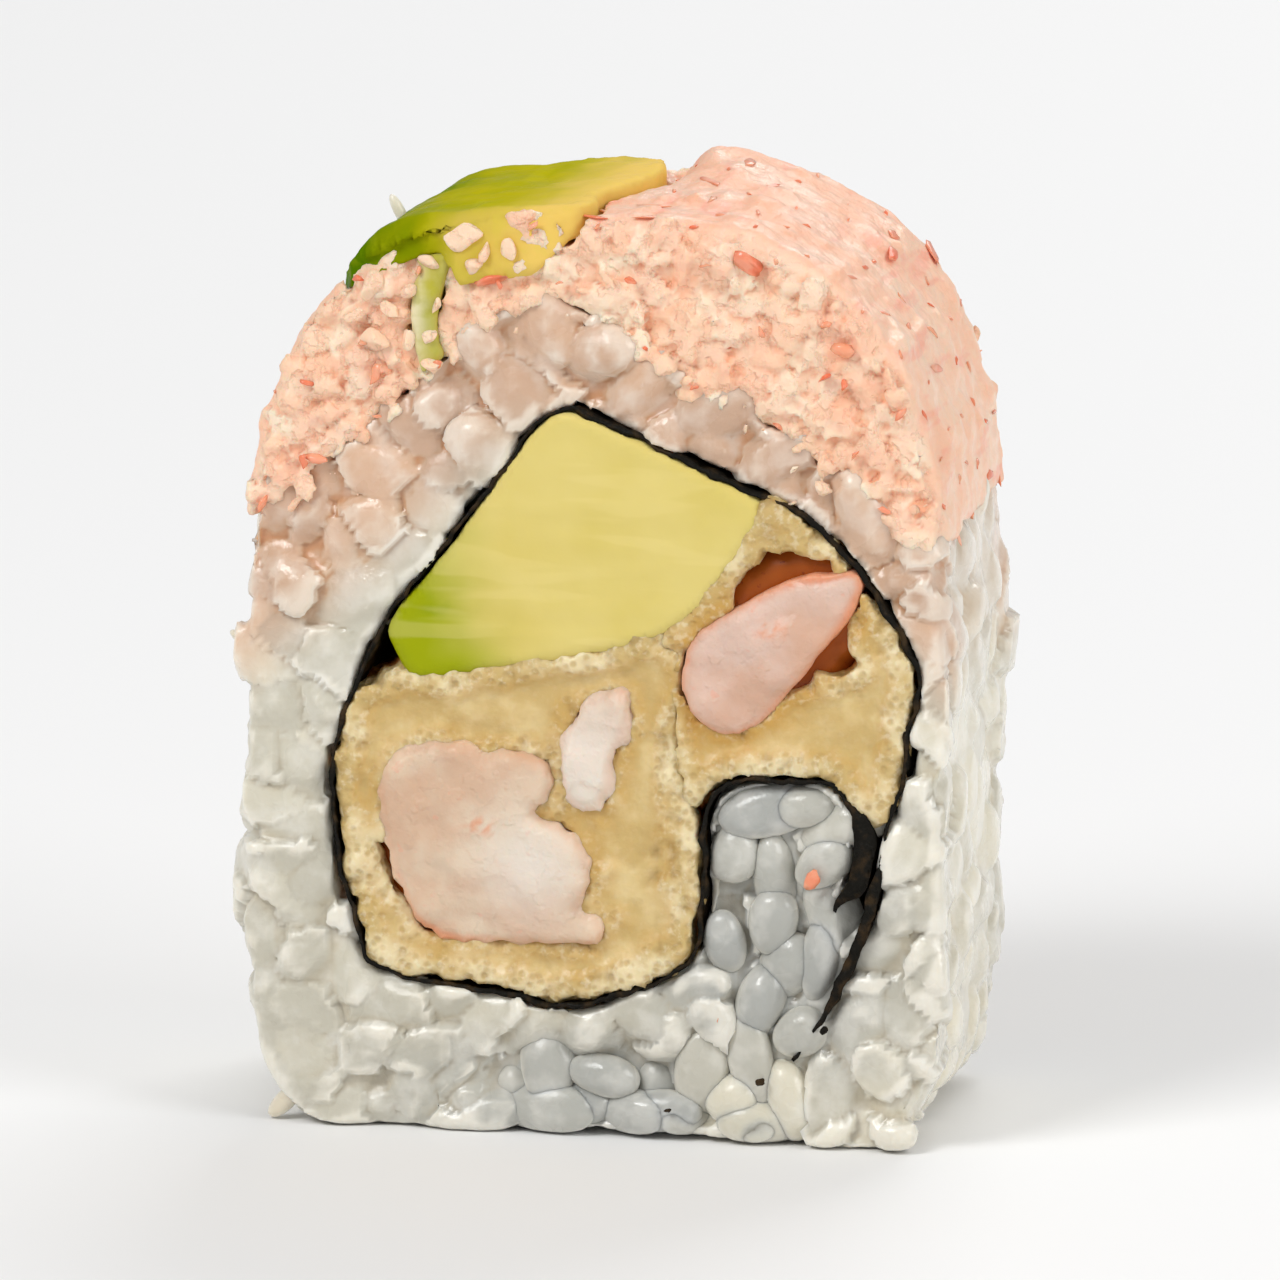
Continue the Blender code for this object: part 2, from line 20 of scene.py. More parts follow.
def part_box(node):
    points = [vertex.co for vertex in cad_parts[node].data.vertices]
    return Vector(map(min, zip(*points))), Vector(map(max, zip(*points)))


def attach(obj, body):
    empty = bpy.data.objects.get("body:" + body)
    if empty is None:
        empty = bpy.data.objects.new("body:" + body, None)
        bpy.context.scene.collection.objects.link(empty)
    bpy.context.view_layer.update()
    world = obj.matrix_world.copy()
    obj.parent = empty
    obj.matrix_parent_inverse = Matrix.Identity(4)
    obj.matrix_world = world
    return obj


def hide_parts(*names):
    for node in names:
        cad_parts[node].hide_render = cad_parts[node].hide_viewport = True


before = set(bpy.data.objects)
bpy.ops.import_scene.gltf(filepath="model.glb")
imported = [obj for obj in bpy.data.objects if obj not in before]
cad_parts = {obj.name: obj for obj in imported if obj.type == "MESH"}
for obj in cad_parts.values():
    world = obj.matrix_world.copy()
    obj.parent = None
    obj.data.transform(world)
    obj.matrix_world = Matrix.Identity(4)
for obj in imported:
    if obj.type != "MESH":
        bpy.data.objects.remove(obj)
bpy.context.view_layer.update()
print("solids:", sorted(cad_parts))

# %% [markdown]
# ## The roll's form
#
# The real roll is pressed by a mat into a soft box, then cut across. Its section is drawn once, in millimetres on the
# front cut face, with X to the right and Z up, and everything else is placed from it. Four quarters of a superellipse
# give the outside: one exponent for each corner says how boxy it is. A hand-drawn spline would do too, but the formula
# also tells how far any point lies from the skin, which the pressed grains need.

# %% Sizes in millimetres
MM = 0.001
LEFT_HALF, RIGHT_HALF = 20.3, 19.8
HEIGHT = 51.6
DEPTH = 21.6
FACE = DEPTH / 2
BASE_DROP = 0.7
HALF_HEIGHT = (HEIGHT + BASE_DROP) / 2
MIDDLE = HALF_HEIGHT - BASE_DROP
NORI_THICK = 0.5
SHOULDER_POWER, LEFT_FOOT_POWER, RIGHT_FOOT_POWER = 2.8, 7.0, 8.0


def corner_power(x, z):
    """The superellipse exponent for the quarter that each point lies in: round shoulders and square feet."""
    return np.where(z > MIDDLE, SHOULDER_POWER, np.where(x > 0, RIGHT_FOOT_POWER, LEFT_FOOT_POWER))


def skin_factor(x, z):
    """1 on the roll's outer skin, less inside it and more outside it."""
    power = corner_power(x, z)
    half_width = np.where(x > 0, RIGHT_HALF, LEFT_HALF)
    return (np.abs(x / half_width) ** power + np.abs((z - MIDDLE) / HALF_HEIGHT) ** power) ** (1 / power)


def outline(proud=0.0, count=88):
    """The outer outline as a loop of points, cut flat at the base."""
    loop = []
    for i in range(count):
        angle = 2 * math.pi * (i + 0.5) / count
        c, s = math.cos(angle), math.sin(angle)
        power = float(corner_power(np.array(c), np.array(MIDDLE + s)))
        half_width = RIGHT_HALF if c > 0 else LEFT_HALF
        x = math.copysign(abs(c) ** (2 / power), c) * (half_width + proud)
        z = MIDDLE + math.copysign(abs(s) ** (2 / power), s) * (HALF_HEIGHT + proud)
        loop.append((x, max(z, 0.0)))
    return loop


print("outline:", len(outline()), "points round", LEFT_HALF + RIGHT_HALF, "by", HEIGHT, "mm")

# %% [markdown]
# ## The seaweed's path and the seam
#
# The sheet was laid flat, loaded and rolled up, so its cut edge is one long spiral: it starts inside, wraps a little
# rice, runs round all the fillings, and ends beside its own start. The seam is the line where rice ends and topping
# begins. Both are a few points that a quadratic spline rounds off.

# %% Curves on the cut face
NORI_PATH = [
    (13.4, 13.5), (14.5, 15.5), (14.8, 17.8), (14.2, 19.7), (12.9, 20.9), (10.9, 20.5), (8.7, 20.9), (6.7, 20.1),
    (5.9, 18.1), (6.2, 15.8), (5.9, 13.2), (5.8, 11.0), (4.7, 9.6), (2.2, 8.5), (-1.9, 7.1), (-5.5, 8.1),
    (-12.8, 8.7), (-13.6, 11.5), (-14.6, 14.6), (-15.1, 19.5), (-14.5, 23.0), (-13.2, 26.0), (-11.7, 29.2),
    (-8.3, 33.4), (-5.4, 37.2), (-3.6, 39.9), (-2.1, 41.0), (-0.1, 40.6), (7.3, 37.2), (10.8, 36.1),
    (13.3, 34.3), (16.4, 30.3), (18.2, 27.2), (18.2, 25.6), (17.4, 23.9), (17.5, 21.4), (16.5, 19.0),
    (16.1, 16.7), (15.7, 13.5), (14.0, 9.2), (11.1, 5.0),
]
NORI_OVERLAP = 38
SEAM = [
    (-26.0, 30.0), (-20.4, 33.2), (-14.9, 37.7), (-11.4, 41.0), (-8.8, 43.2), (-6.3, 45.9), (-3.6, 47.2),
    (-0.1, 46.2), (3.0, 43.7), (6.1, 42.4), (11.6, 38.9), (17.0, 35.3), (20.5, 33.0), (26.0, 31.0),
]


def bent(points, closed, steps=3):
    """A quadratic spline along control points, as a list of points."""
    count = len(points)
    line = [] if closed else [points[0]]
    for i in range(count) if closed else range(1, count - 1):
        before, here, after = points[i - 1], points[i], points[(i + 1) % count]
        start = [(a + b) / 2 for a, b in zip(before, here)]
        end = [(a + b) / 2 for a, b in zip(here, after)]
        for step in range(steps):
            t = (step + 0.5) / steps
            line.append(tuple((1 - t) ** 2 * s + 2 * t * (1 - t) * h + t * t * e for s, h, e in zip(start, here, end)))
    return line if closed else line + [points[-1]]


def shifted(line, distance):
    """An open line moved sideways, to its left for a positive distance, or by one distance per point."""
    line = np.array(line)
    along = np.gradient(line, axis=0)
    along /= np.linalg.norm(along, axis=1)[:, None]
    left = np.stack([-along[:, 1], along[:, 0]], axis=1)
    return line + left * np.reshape(distance, (-1, 1))


def inside(loop, x, z):
    """For each point, whether it lies within the closed loop."""
    x, z = np.asarray(x, float), np.asarray(z, float)
    crossed = np.zeros(x.shape, bool)
    for (xa, za), (xb, zb) in zip(loop, np.roll(loop, -1, axis=0)):
        if za != zb:
            crossed ^= ((za > z) != (zb > z)) & (x < (xb - xa) * (z - za) / (zb - za) + xa)
    return crossed


def wrapped_loop(margin):
    """The hole through the rice: the seaweed, and all that it wraps."""
    line = bent(NORI_PATH, False, 2)
    half = NORI_THICK / 2 + margin
    outer, inner = shifted(line, half), shifted(line, -half)
    return np.vstack([outer, inner[2 * NORI_OVERLAP + 1:][::-1]])


def seam_height(x):
    """The height of the seam at x."""
    line = np.array(bent(SEAM, False, 4))
    return np.interp(x, line[:, 0], line[:, 1])


print("seaweed path:", round(float(np.linalg.norm(np.diff(bent(NORI_PATH, False), axis=0), axis=1).sum()), 1), "mm")

# %% [markdown]
# ## From the drawing to the model
#
# A real roll is never straight, so the section drifts a little from the front face to the back one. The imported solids
# have this drift already. The same rule is repeated here, and the seaweed's box says where the drawing's origin lies.

# %% Drift and placing
def drifted(points):
    """Points of the drawing, as an array in millimetres, moved with the roll's drift."""
    x, y, z = np.asarray(points, float).T
    share = (y + FACE) / DEPTH
    lift = z / HEIGHT
    new_x = x + share * (0.6 * lift * lift - 1.2)
    new_z = z + share * lift * (0.7 * np.sin(x / 9.0) - 0.4)
    return np.stack([new_x, y * (1 + 0.025 * (0.5 - lift)), new_z], axis=1)


sheet_line = bent(NORI_PATH, False, 2)
sheet_side = np.vstack([shifted(sheet_line, NORI_THICK / 2), shifted(sheet_line, -NORI_THICK / 2)])
sheet_ends = [np.insert(sheet_side, 1, y, axis=1) for y in (-FACE + 0.1, FACE - 0.1)]
nori_low = drifted(np.vstack(sheet_ends)).min(axis=0)
ORIGIN = np.array(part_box("nori")[0]) - nori_low * MM


def placed(points):
    """The drawing's points in the model's frame, in metres."""
    return drifted(points) * MM + ORIGIN


print("drawing's origin in the model:", ORIGIN.round(5))

# %% [markdown]
# ## Mesh helpers
#
# Most pieces here are either a crowd of small closed shapes or a solid that is remeshed finely. A crowd is written as
# arrays of points, because thousands of separate objects would be slow. The voxel remesh gives even small faces, which
# noise can then push about. Each helper hangs its piece on the model's one body and names the solid that it replaces.

# %% Making objects
def linked(name, data):
    """A new object in the scene."""
    made = bpy.data.objects.new(name, data)
    bpy.context.scene.collection.objects.link(made)
    return made


def new_object(name, points, faces):
    """A smooth-shaded mesh object."""
    mesh = bpy.data.meshes.new(name)
    mesh.from_pydata([tuple(p) for p in points], [], [tuple(int(i) for i in f) for f in faces])
    mesh.polygons.foreach_set("use_smooth", np.ones(len(mesh.polygons), bool))
    return linked(name, mesh)


def hung(piece, replaced=()):
    """The piece, riding on the roll in place of the solids that it replaces."""
    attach(piece, "root")
    if replaced:
        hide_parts(*replaced)
    return piece


def measured(piece):
    """A piece's points, its normals, and its points as places in the drawing."""
    points, normals = np.empty((2, len(piece.data.vertices) * 3))
    piece.data.vertices.foreach_get("co", points)
    piece.data.vertices.foreach_get("normal", normals)
    points = points.reshape(-1, 3)
    return points, normals.reshape(-1, 3), (points - ORIGIN) / MM


def set_points(piece, points):
    piece.data.vertices.foreach_set("co", np.asarray(points, float).ravel())
    piece.data.update()


def paint(piece, name, *masks):
    """Keeps up to four masks for each vertex as a colour, for the material to read by this name."""
    values = np.zeros((len(piece.data.vertices), 4))
    for i, mask in enumerate(masks):
        values[:, i] = mask
    layer = piece.data.attributes.new(name, "FLOAT_COLOR", "POINT")
    layer.data.foreach_set("color", values.ravel())


def baked(piece):
    """The piece with its modifiers applied."""
    graph = bpy.context.evaluated_depsgraph_get()
    mesh = bpy.data.meshes.new_from_object(piece.evaluated_get(graph))
    piece.modifiers.clear()
    piece.data = mesh
    return piece


def refined(piece, voxel):
    """Divides a closed mesh into small even faces, a voxel across."""
    remesh = piece.modifiers.new("remesh", "REMESH")
    remesh.mode = "VOXEL"
    remesh.voxel_size = voxel * MM
    remesh.use_smooth_shade = True
    baked(piece).data.materials.clear()
    return piece


def rounded(piece):
    """Divides each face in four and rounds the shape; the painted masks follow."""
    piece.modifiers.new("round", "SUBSURF").levels = 1
    return baked(piece)


def remeshed(node, name, voxel):
    """A fine even copy of a solid, which replaces it."""
    piece = linked(name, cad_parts[node].data.copy())
    welding = piece.modifiers.new("weld", "WELD")
    welding.merge_threshold = 1e-6
    return hung(refined(piece, voxel), [node])


def joined(name, *parts):
    """One object holding the meshes of several, which are removed."""
    shape = bmesh.new()
    for part in parts:
        shape.from_mesh(part.data)
        bpy.data.objects.remove(part)
    mesh = bpy.data.meshes.new(name)
    shape.to_mesh(mesh)
    shape.free()
    return linked(name, mesh)


def evened(piece, values, rounds):
    """Three values for each point, each averaged over its neighbours some rounds."""
    pairs = np.empty(len(piece.data.edges) * 2, int)
    piece.data.edges.foreach_get("vertices", pairs)
    first, second = pairs.reshape(-1, 2).T
    count = len(values)
    meetings = np.bincount(pairs, minlength=count)
    for _ in range(rounds):
        sums = [
            np.bincount(first, values[second, axis], count) + np.bincount(second, values[first, axis], count)
            for axis in range(3)
        ]
        values = np.stack(sums, axis=1) / meetings[:, None]
    return values


def hollows(piece, rounds):
    """How far each point lies below its own neighbourhood, in millimetres: more than 0 in a crease or a pit."""
    points, normals, _ = measured(piece)
    return ((evened(piece, points, rounds) - points) * normals).sum(axis=1) / MM


def tree_of(points):
    tree = KDTree(len(points))
    for i, point in enumerate(points):
        tree.insert(point, i)
    tree.balance()
    return tree


def smooth_step(low, high, value):
    t = np.clip((np.asarray(value, float) - low) / (high - low), 0, 1)
    return t * t * (3 - 2 * t)


def fading(x, z, at_x, at_z, wide, high):
    """1 at a place on the section, fading to 0 round it."""
    return np.exp(-(((x - at_x) / wide) ** 2) - ((z - at_z) / high) ** 2)


def cloud(points, size, seed=0.0, depth=3):
    """Smooth noise from about -1 to 1 at each point, with features of this size."""
    shift = Vector((seed * 7.3, seed * 3.1, seed * 5.7))
    return np.array([noise.fractal(Vector(p) / size + shift, 1.0, 2.0, depth) for p in points])


def cells(points, size, seed=0.0):
    """For each point the distance to the nearest cell centre, and to the next, in cell sizes."""
    shift = Vector((seed * 7.3, seed * 3.1, seed * 5.7))
    found = [noise.voronoi(Vector(p) / size + shift)[0] for p in points]
    return np.array([f[0] for f in found]), np.array([f[1] for f in found])


print("helpers ready")

# %% [markdown]
# ## Scattering on the cut face and round the side
#
# Grains and crumbs lie evenly but in no pattern. Dart throwing does this: a point is kept only if it is far enough
# from all that were kept before. One fixed seed for each scatter gives the same roll on every run.

# %% Dart throwing
def darts(spacing, seed, wanted, tries=9000):
    """Points (x, z) on the section where wanted is true, at least spacing(x, z) apart."""
    draw = np.random.default_rng(seed)
    thrown = draw.uniform((-LEFT_HALF, 0), (RIGHT_HALF, HEIGHT), (tries, 2))
    thrown = thrown[wanted(thrown[:, 0], thrown[:, 1])]
    kept = np.empty((0, 2))
    for point in thrown:
        if not len(kept) or ((kept - point) ** 2).sum(axis=1).min() > spacing(*point) ** 2:
            kept = np.vstack([kept, point])
    return kept


def side_places(spacing, seed, wanted, depth=FACE, tries=9000):
    """Places (x, y, z) and outward directions round the outer side, at least a spacing apart."""
    loop = np.array(outline(0.0, 720))
    ahead = np.roll(loop, -1, axis=0) - loop
    lengths = np.linalg.norm(ahead, axis=1)
    sums = np.cumsum(lengths)
    draw = np.random.default_rng(seed)
    kept, directions = np.empty((0, 3)), []
    for run, y in zip(draw.uniform(0, sums[-1], tries), draw.uniform(-depth, depth, tries)):
        i = int(np.searchsorted(sums, run))
        x, z = loop[i] + ahead[i] * (1 - (sums[i] - run) / max(lengths[i], 1e-9))
        spot = np.array([x, y, z])
        if wanted(x, z) and (not len(kept) or ((kept - spot) ** 2).sum(axis=1).min() > spacing**2):
            kept = np.vstack([kept, spot])
            directions.append((ahead[i][1] / lengths[i], 0.0, -ahead[i][0] / lengths[i]))
    return kept, np.array(directions)


def crowd(template, copies):
    """Copies of closed shapes as one array of points and faces; each copy is a place, a turn and a size."""
    all_points, all_faces, owners = [], [], []
    for i, (place, turn, size) in enumerate(copies):
        shape = template(i) * size @ np.array(turn).T + place
        all_faces.append(ball_faces + len(shape) * i)
        all_points.append(shape)
        owners.append(np.full(len(shape), i))
    return np.vstack(all_points), np.vstack(all_faces), np.concatenate(owners)


def ball(subdivisions):
    """The points and triangles of a unit ball."""
    shape = bmesh.new()
    bmesh.ops.create_icosphere(shape, subdivisions=subdivisions, radius=1.0)
    points = np.array([v.co[:] for v in shape.verts])
    faces = np.array([[v.index for v in f.verts] for f in shape.faces])
    shape.free()
    return points, faces


ball_points, ball_faces = ball(2)


def side_turn(outward, angle):
    """A rotation with X lying along the surface and Z outward."""
    outward = Vector(outward)
    along = Vector((0.0, 1.0, 0.0))
    first = (along * math.cos(angle) + outward.cross(along) * math.sin(angle)).normalized()
    return Matrix((first, outward.cross(first), outward)).transposed()


def reaches(turn, radii, direction):
    """How far a turned ellipsoid reaches from its centre in a direction."""
    return math.sqrt(sum((Vector(turn.col[i]).dot(Vector(direction)) * radii[i]) ** 2 for i in range(3)))


# %% [markdown]
# ## Rice grains
#
# Cooked short grains are plump, about 6 mm long and 3.2 mm wide, a little bent and never quite alike. The knife and
# the mat press the outer ones flat. So each grain is a finely divided ball, stretched, tapered and bent, and then
# eased back wherever it would stand out of the cut face, the rolled skin or the base. The eased places meet in thin
# creases as pressed rice does. A second layer lies deeper and closes the gaps.

# %% Where the grains lie
GRAIN = (3.05, 1.62, 1.5)
hole = wrapped_loop(-0.17)


def looseness(x, z):
    """0 where the rice is pressed into one mass, 1 where its grains lie loose: within the curl and below it."""
    curl = fading(x, z, 9.8, 13.5, 7.0, 12.0)
    base = smooth_step(8.0, 3.0, z) * np.exp(-(((x - 3.0) / 13.0) ** 2))
    under = 0.55 * smooth_step(-8.0, -3.5, z - seam_height(x))
    return np.maximum(np.maximum(curl, base), np.maximum(under, 0.12))


def rice_here(x, z):
    """True where a grain's centre may lie on the cut face."""
    body = (skin_factor(x, z) < 0.97) & (z > 0.7)
    return body & (z < seam_height(x) - 0.6) & ~inside(wrapped_loop(0.45), x, z)


# Grains that stand out on the front face: x, z, half length, half width, and the length's angle from level in degrees
SHOWN_GRAINS = [
    (7.6, 16.3, 1.9, 1.6, 75), (11.6, 19.1, 2.0, 1.3, 8), (12.7, 16.0, 2.1, 1.4, 40), (9.8, 12.5, 2.1, 1.5, 80),
    (7.1, 11.3, 2.0, 1.3, 100), (12.5, 10.6, 2.8, 1.2, 80), (9.1, 8.0, 2.4, 1.5, 70), (11.4, 6.4, 1.8, 1.5, 30),
    (6.4, 6.9, 2.2, 1.2, 115), (4.0, 6.0, 1.9, 1.5, 20), (-0.6, 5.9, 1.7, 1.4, 40), (0.2, 3.4, 2.3, 1.3, 170),
    (3.4, 1.5, 2.7, 1.3, 5), (7.6, 2.4, 1.8, 1.7, 30), (10.8, 2.5, 2.6, 1.5, 105), (9.1, 0.9, 1.1, 0.8, 10),
]


def shown_grains():
    """Place, turn and size of each grain that stands out."""
    draw = random.Random(16)
    for x, z, length, width, angle in SHOWN_GRAINS:
        turn = Matrix.Rotation(-math.radians(angle), 3, "Y") @ Matrix.Rotation(draw.uniform(-0.25, 0.25), 3, "Z")
        yield (x, -FACE - draw.uniform(-0.1, 0.35) + width, z), turn, (length, width, width)


def beside_shown(x, z):
    """Where rice may lie and no shown grain does."""
    free = rice_here(x, z)
    for shown_x, shown_z, length, width, _ in SHOWN_GRAINS:
        free &= np.hypot(x - shown_x, z - shown_z) > 0.35 * (length + width) + 0.8
    return free


def face_grains(side, spacing, seed, back, jitter):
    """Place, turn and size of each grain of one layer on one cut face."""
    draw = random.Random(seed)
    wanted = beside_shown if side < 0 and back < 1 else rice_here
    for x, z in darts(lambda x, z: spacing + 0.9 * looseness(x, z), seed, wanted):
        size = [r * draw.uniform(0.88, 1.12) for r in GRAIN]
        turn = (
            Matrix.Rotation(draw.uniform(0, math.pi), 3, "Y")
            @ Matrix.Rotation(draw.uniform(-0.75, 0.75), 3, "Z")
            @ Matrix.Rotation(draw.uniform(0, math.pi), 3, "X")
        )
        loose = float(looseness(x, z))
        proud = 0.75 * (1 - loose) + draw.uniform(-jitter, jitter) * (0.4 + loose)
        yield (x, side * (FACE - back + proud - reaches(turn, size, (0, 1, 0))), z), turn, size


def skin_grains(seed, spacing):
    """The same for the rolled side and the base."""
    draw = random.Random(seed)
    found, directions = side_places(spacing, seed, lambda x, z: z < seam_height(x) + 0.8)
    for spot, outward in zip(found, directions):
        size = [r * draw.uniform(0.88, 1.12) for r in GRAIN]
        turn = side_turn(outward, draw.uniform(0, math.pi))
        limit = FACE - reaches(turn, size, (0, 1, 0)) + 0.3
        spot = np.array([spot[0], max(-limit, min(limit, spot[1])), spot[2]])
        yield spot - outward * (size[2] - draw.uniform(-0.1, 0.35)), turn, size


layers = [list(layer) for layer in (
    shown_grains(),
    face_grains(-1, 2.35, 11, 0.1, 0.3),
    face_grains(-1, 3.3, 12, 1.1, 0.3),
    face_grains(1, 2.6, 13, 0.1, 0.3),
    face_grains(1, 3.8, 14, 1.1, 0.3),
    skin_grains(15, 3.15),
)]
grain_list = [grain for layer in layers for grain in layer]
print("grains in each layer:", [len(layer) for layer in layers])

# %% Grain shapes
grain_draw = np.random.default_rng(17)
BENDS = grain_draw.uniform(-0.16, 0.16, len(grain_list))
TAPERS = grain_draw.uniform(-0.16, 0.16, len(grain_list))


def grain_shape(i):
    """A unit grain: blunt ends, one end thinner, and a slight bend."""
    x, y, z = ball_points.T
    blunt = np.sign(x) * np.abs(x) ** 0.9
    thin = 1 + TAPERS[i] * x
    return np.stack([blunt, y * thin, z * thin + BENDS[i] * (x * x - 0.4)], axis=1)


grain_points, grain_faces, owners = crowd(grain_shape, grain_list)
print("grain points:", len(grain_points), "triangles:", len(grain_faces))

# %% Press the grains
def eased(value, limit, softness):
    """The value held under a limit, with a soft corner."""
    return limit - softness * np.logaddexp(0, (limit - value) / softness)


def pushed_from_hole(points, loop, margin):
    """Points that lie over the fillings moved back to the hole's edge."""
    over = inside(loop, points[:, 0], points[:, 2])
    flat = points[over][:, (0, 2)]
    starts, ends = loop, np.roll(loop, -1, axis=0)
    along = ends - starts
    best = np.full(len(flat), 1e9)
    nearest = flat.copy()
    for start, step in zip(starts, along):
        length = float(step @ step)
        if length < 1e-9:
            continue
        t = np.clip(((flat - start) @ step) / length, 0, 1)
        spot = start + t[:, None] * step
        gap = np.linalg.norm(flat - spot, axis=1)
        closer = gap < best
        best[closer], nearest[closer] = gap[closer], spot[closer]
    away = nearest - flat
    away /= np.maximum(np.linalg.norm(away, axis=1), 1e-6)[:, None]
    moved = points.copy()
    moved[over, 0], moved[over, 2] = (nearest + away * margin).T
    return moved


def pressed(points, owners, count, seed, flatness=0.14):
    """Eases points back inside the skin, the two cut faces and the base, each shape with its own small tilt."""
    draw = np.random.default_rng(seed)
    points = points.copy()
    proud = draw.uniform(-0.3, 0.2, count)[owners]
    tilts = draw.uniform(-0.15, 0.15, (count, 2))[owners]
    factor = skin_factor(points[:, 0], points[:, 2])
    limit = 1 + draw.uniform(-0.03, 0.016, count)[owners]
    scale = eased(factor, limit, 0.004) / np.maximum(factor, 1e-6)
    points[:, 0] *= scale
    points[:, 2] = MIDDLE + (points[:, 2] - MIDDLE) * scale
    middle = np.zeros((count, 3))
    for axis in range(3):
        middle[:, axis] = np.bincount(owners, points[:, axis], count) / np.bincount(owners, minlength=count)
    offset = points - middle[owners]
    face = FACE + proud + tilts[:, 0] * offset[:, 0] + tilts[:, 1] * offset[:, 2]
    side = np.sign(points[:, 1])
    points[:, 1] = side * eased(np.abs(points[:, 1]), np.minimum(face, FACE + 0.3), flatness)
    points[:, 2] = np.maximum(-eased(-points[:, 2], -0.02, 0.12), 0.01)
    return points


count = len(grain_list)
grain_points = pushed_from_hole(grain_points, hole, 0.04)
grain_points = pressed(grain_points, owners, count, 19)
centres = np.array([place for place, _, _ in grain_list])
own_shade = grain_draw.uniform(0, 1, count)
near_face = smooth_step(FACE - 4.2, FACE - 2.6, np.abs(centres[:, 1]))


def rice_tones(points, own, near_face):
    """Each place's own tone, how far the topping warms it, and how loose and cool it is; painted shade and light are
    mixed in.
    """
    x, z = points[:, 0], points[:, 2]
    warm = smooth_step(-11.0, -4.0, z - seam_height(x)) * (0.35 + 0.65 * near_face)
    # The cool grey of loose rice is partly the seaweed seen through the grains and partly painted shade in the recessed
    # rice.
    seaweed_tint_and_shade = np.clip(looseness(x, z) * 1.2, 0, 1) * near_face * (1 - warm)
    # Painted light: the loose grains at the bottom right are kept lighter.
    painted_light_low_right = smooth_step(5.5, 2.5, z) * smooth_step(4.5, 6.5, x)
    # Painted shade: the grains near the cut face darken towards the bottom.
    own = np.clip(own + 0.5 * smooth_step(22.0, 8.0, z) * near_face * (1 - painted_light_low_right), 0, 1)
    return np.stack([own, warm, seaweed_tint_and_shade * (1 - 0.85 * painted_light_low_right)])


print("pressed", count, "grains")

# %% [markdown]
# ## The rice behind the grains
#
# Between the grains one looks into more rice. Where the mat and the knife pressed hard, starch fills the creases
# almost to the top. Where the grains lie loose, the gaps are deep. So a core with the same hole as the solid is sunk
# by how loose the rice is at each place.

# %% The core
def stacked(name, rings):
    """A closed mesh through rings of points."""
    shape = bmesh.new()
    made = [[shape.verts.new(tuple(point)) for point in ring] for ring in rings]
    for low, high in zip(made, made[1:]):
        for i in range(len(low)):
            shape.faces.new((low[i - 1], low[i], high[i], high[i - 1]))
    shape.faces.new(made[0])
    shape.faces.new(made[-1][::-1])
    bmesh.ops.recalc_face_normals(shape, faces=shape.faces)
    mesh = bpy.data.meshes.new(name)
    shape.to_mesh(mesh)
    shape.free()
    return linked(name, mesh)


def prism(name, loop, front, back):
    return stacked(name, [placed([(x, y, z) for x, z in loop]) for y in (front, back)])


def cut(target, cutters):
    """Takes the cutters out of the target, and removes them."""
    for cutter in cutters:
        modifier = target.modifiers.new("cut", "BOOLEAN")
        modifier.operation = "DIFFERENCE"
        modifier.solver = "EXACT"
        modifier.object = cutter
    baked(target)
    for cutter in cutters:
        bpy.data.objects.remove(cutter)
    return target


CORE_BACK = 0.22
CORE_VOXEL, RICE_VOXEL, CRAB_VOXEL = 0.45, 0.33, 0.22
core_loop = [(x, max(z, 0.35)) for x, z in outline(-0.4, 88)]
core = prism("rice_core", core_loop, -FACE + CORE_BACK, FACE - CORE_BACK)
seam_line = bent(SEAM, False, 2)
above = prism("above", [(-30.0, 70.0), *seam_line, (30.0, 70.0)], -2 * FACE, 2 * FACE)
through = prism("through", wrapped_loop(0.0), -2 * FACE, 2 * FACE)
cut(core, [above, through])
refined(core, CORE_VOXEL)
core_points, normals, drawing = measured(core)
sunk = looseness(drawing[:, 0], drawing[:, 2]) * 1.7 - 0.15 + cloud(drawing, 1.6, 2.0) * 0.25
on_face = smooth_step(0.7, 0.9, np.abs(normals[:, 1]))
set_points(core, core_points - normals * (on_face * np.maximum(sunk, 0) * MM)[:, None])


# %% Loose grains, and grains pressed into the core
def grains_object(name, chosen):
    """The chosen grains as one object."""
    keep = np.isin(owners, chosen)
    number = np.cumsum(keep) - 1
    faces = grain_faces[keep[grain_faces[:, 0]]]
    return new_object(name, placed(grain_points[keep]), number[faces]), owners[keep]


is_loose = (looseness(centres[:, 0], centres[:, 2]) > 0.6) & (centres[:, 1] < -FACE + 3.2)
loose_grains, loose_owners = grains_object("rice_grains_loose", np.flatnonzero(is_loose))
paint(loose_grains, "grain_tone", *rice_tones(centres, own_shade, near_face)[:, loose_owners])
hung(rounded(loose_grains), ["rice"])
pressed_grains, _ = grains_object("rice_grains_pressed", np.flatnonzero(~is_loose))
rice_mass = refined(joined("rice_mass", core, pressed_grains), RICE_VOXEL)
points, normals, drawing = measured(rice_mass)
grain_tree = tree_of(centres)
inverse_turns = np.array([np.array(turn).T / np.array(size)[:, None] for _, turn, size in grain_list])


def nearest_grain(places, among=6):
    """For each place the grain that it belongs to, and how much nearer that is than the next one."""
    found = np.array([[hit[1] for hit in grain_tree.find_n(p, among)] for p in places])
    offsets = places[:, None, :] - centres[found]
    spans = np.linalg.norm(np.einsum("pkij,pkj->pki", inverse_turns[found], offsets), axis=2)
    order = np.argsort(spans, axis=1)
    rows = np.arange(len(places))
    lead = spans[rows, order[:, 1]] - spans[rows, order[:, 0]]
    return found[rows, order[:, 0]], lead


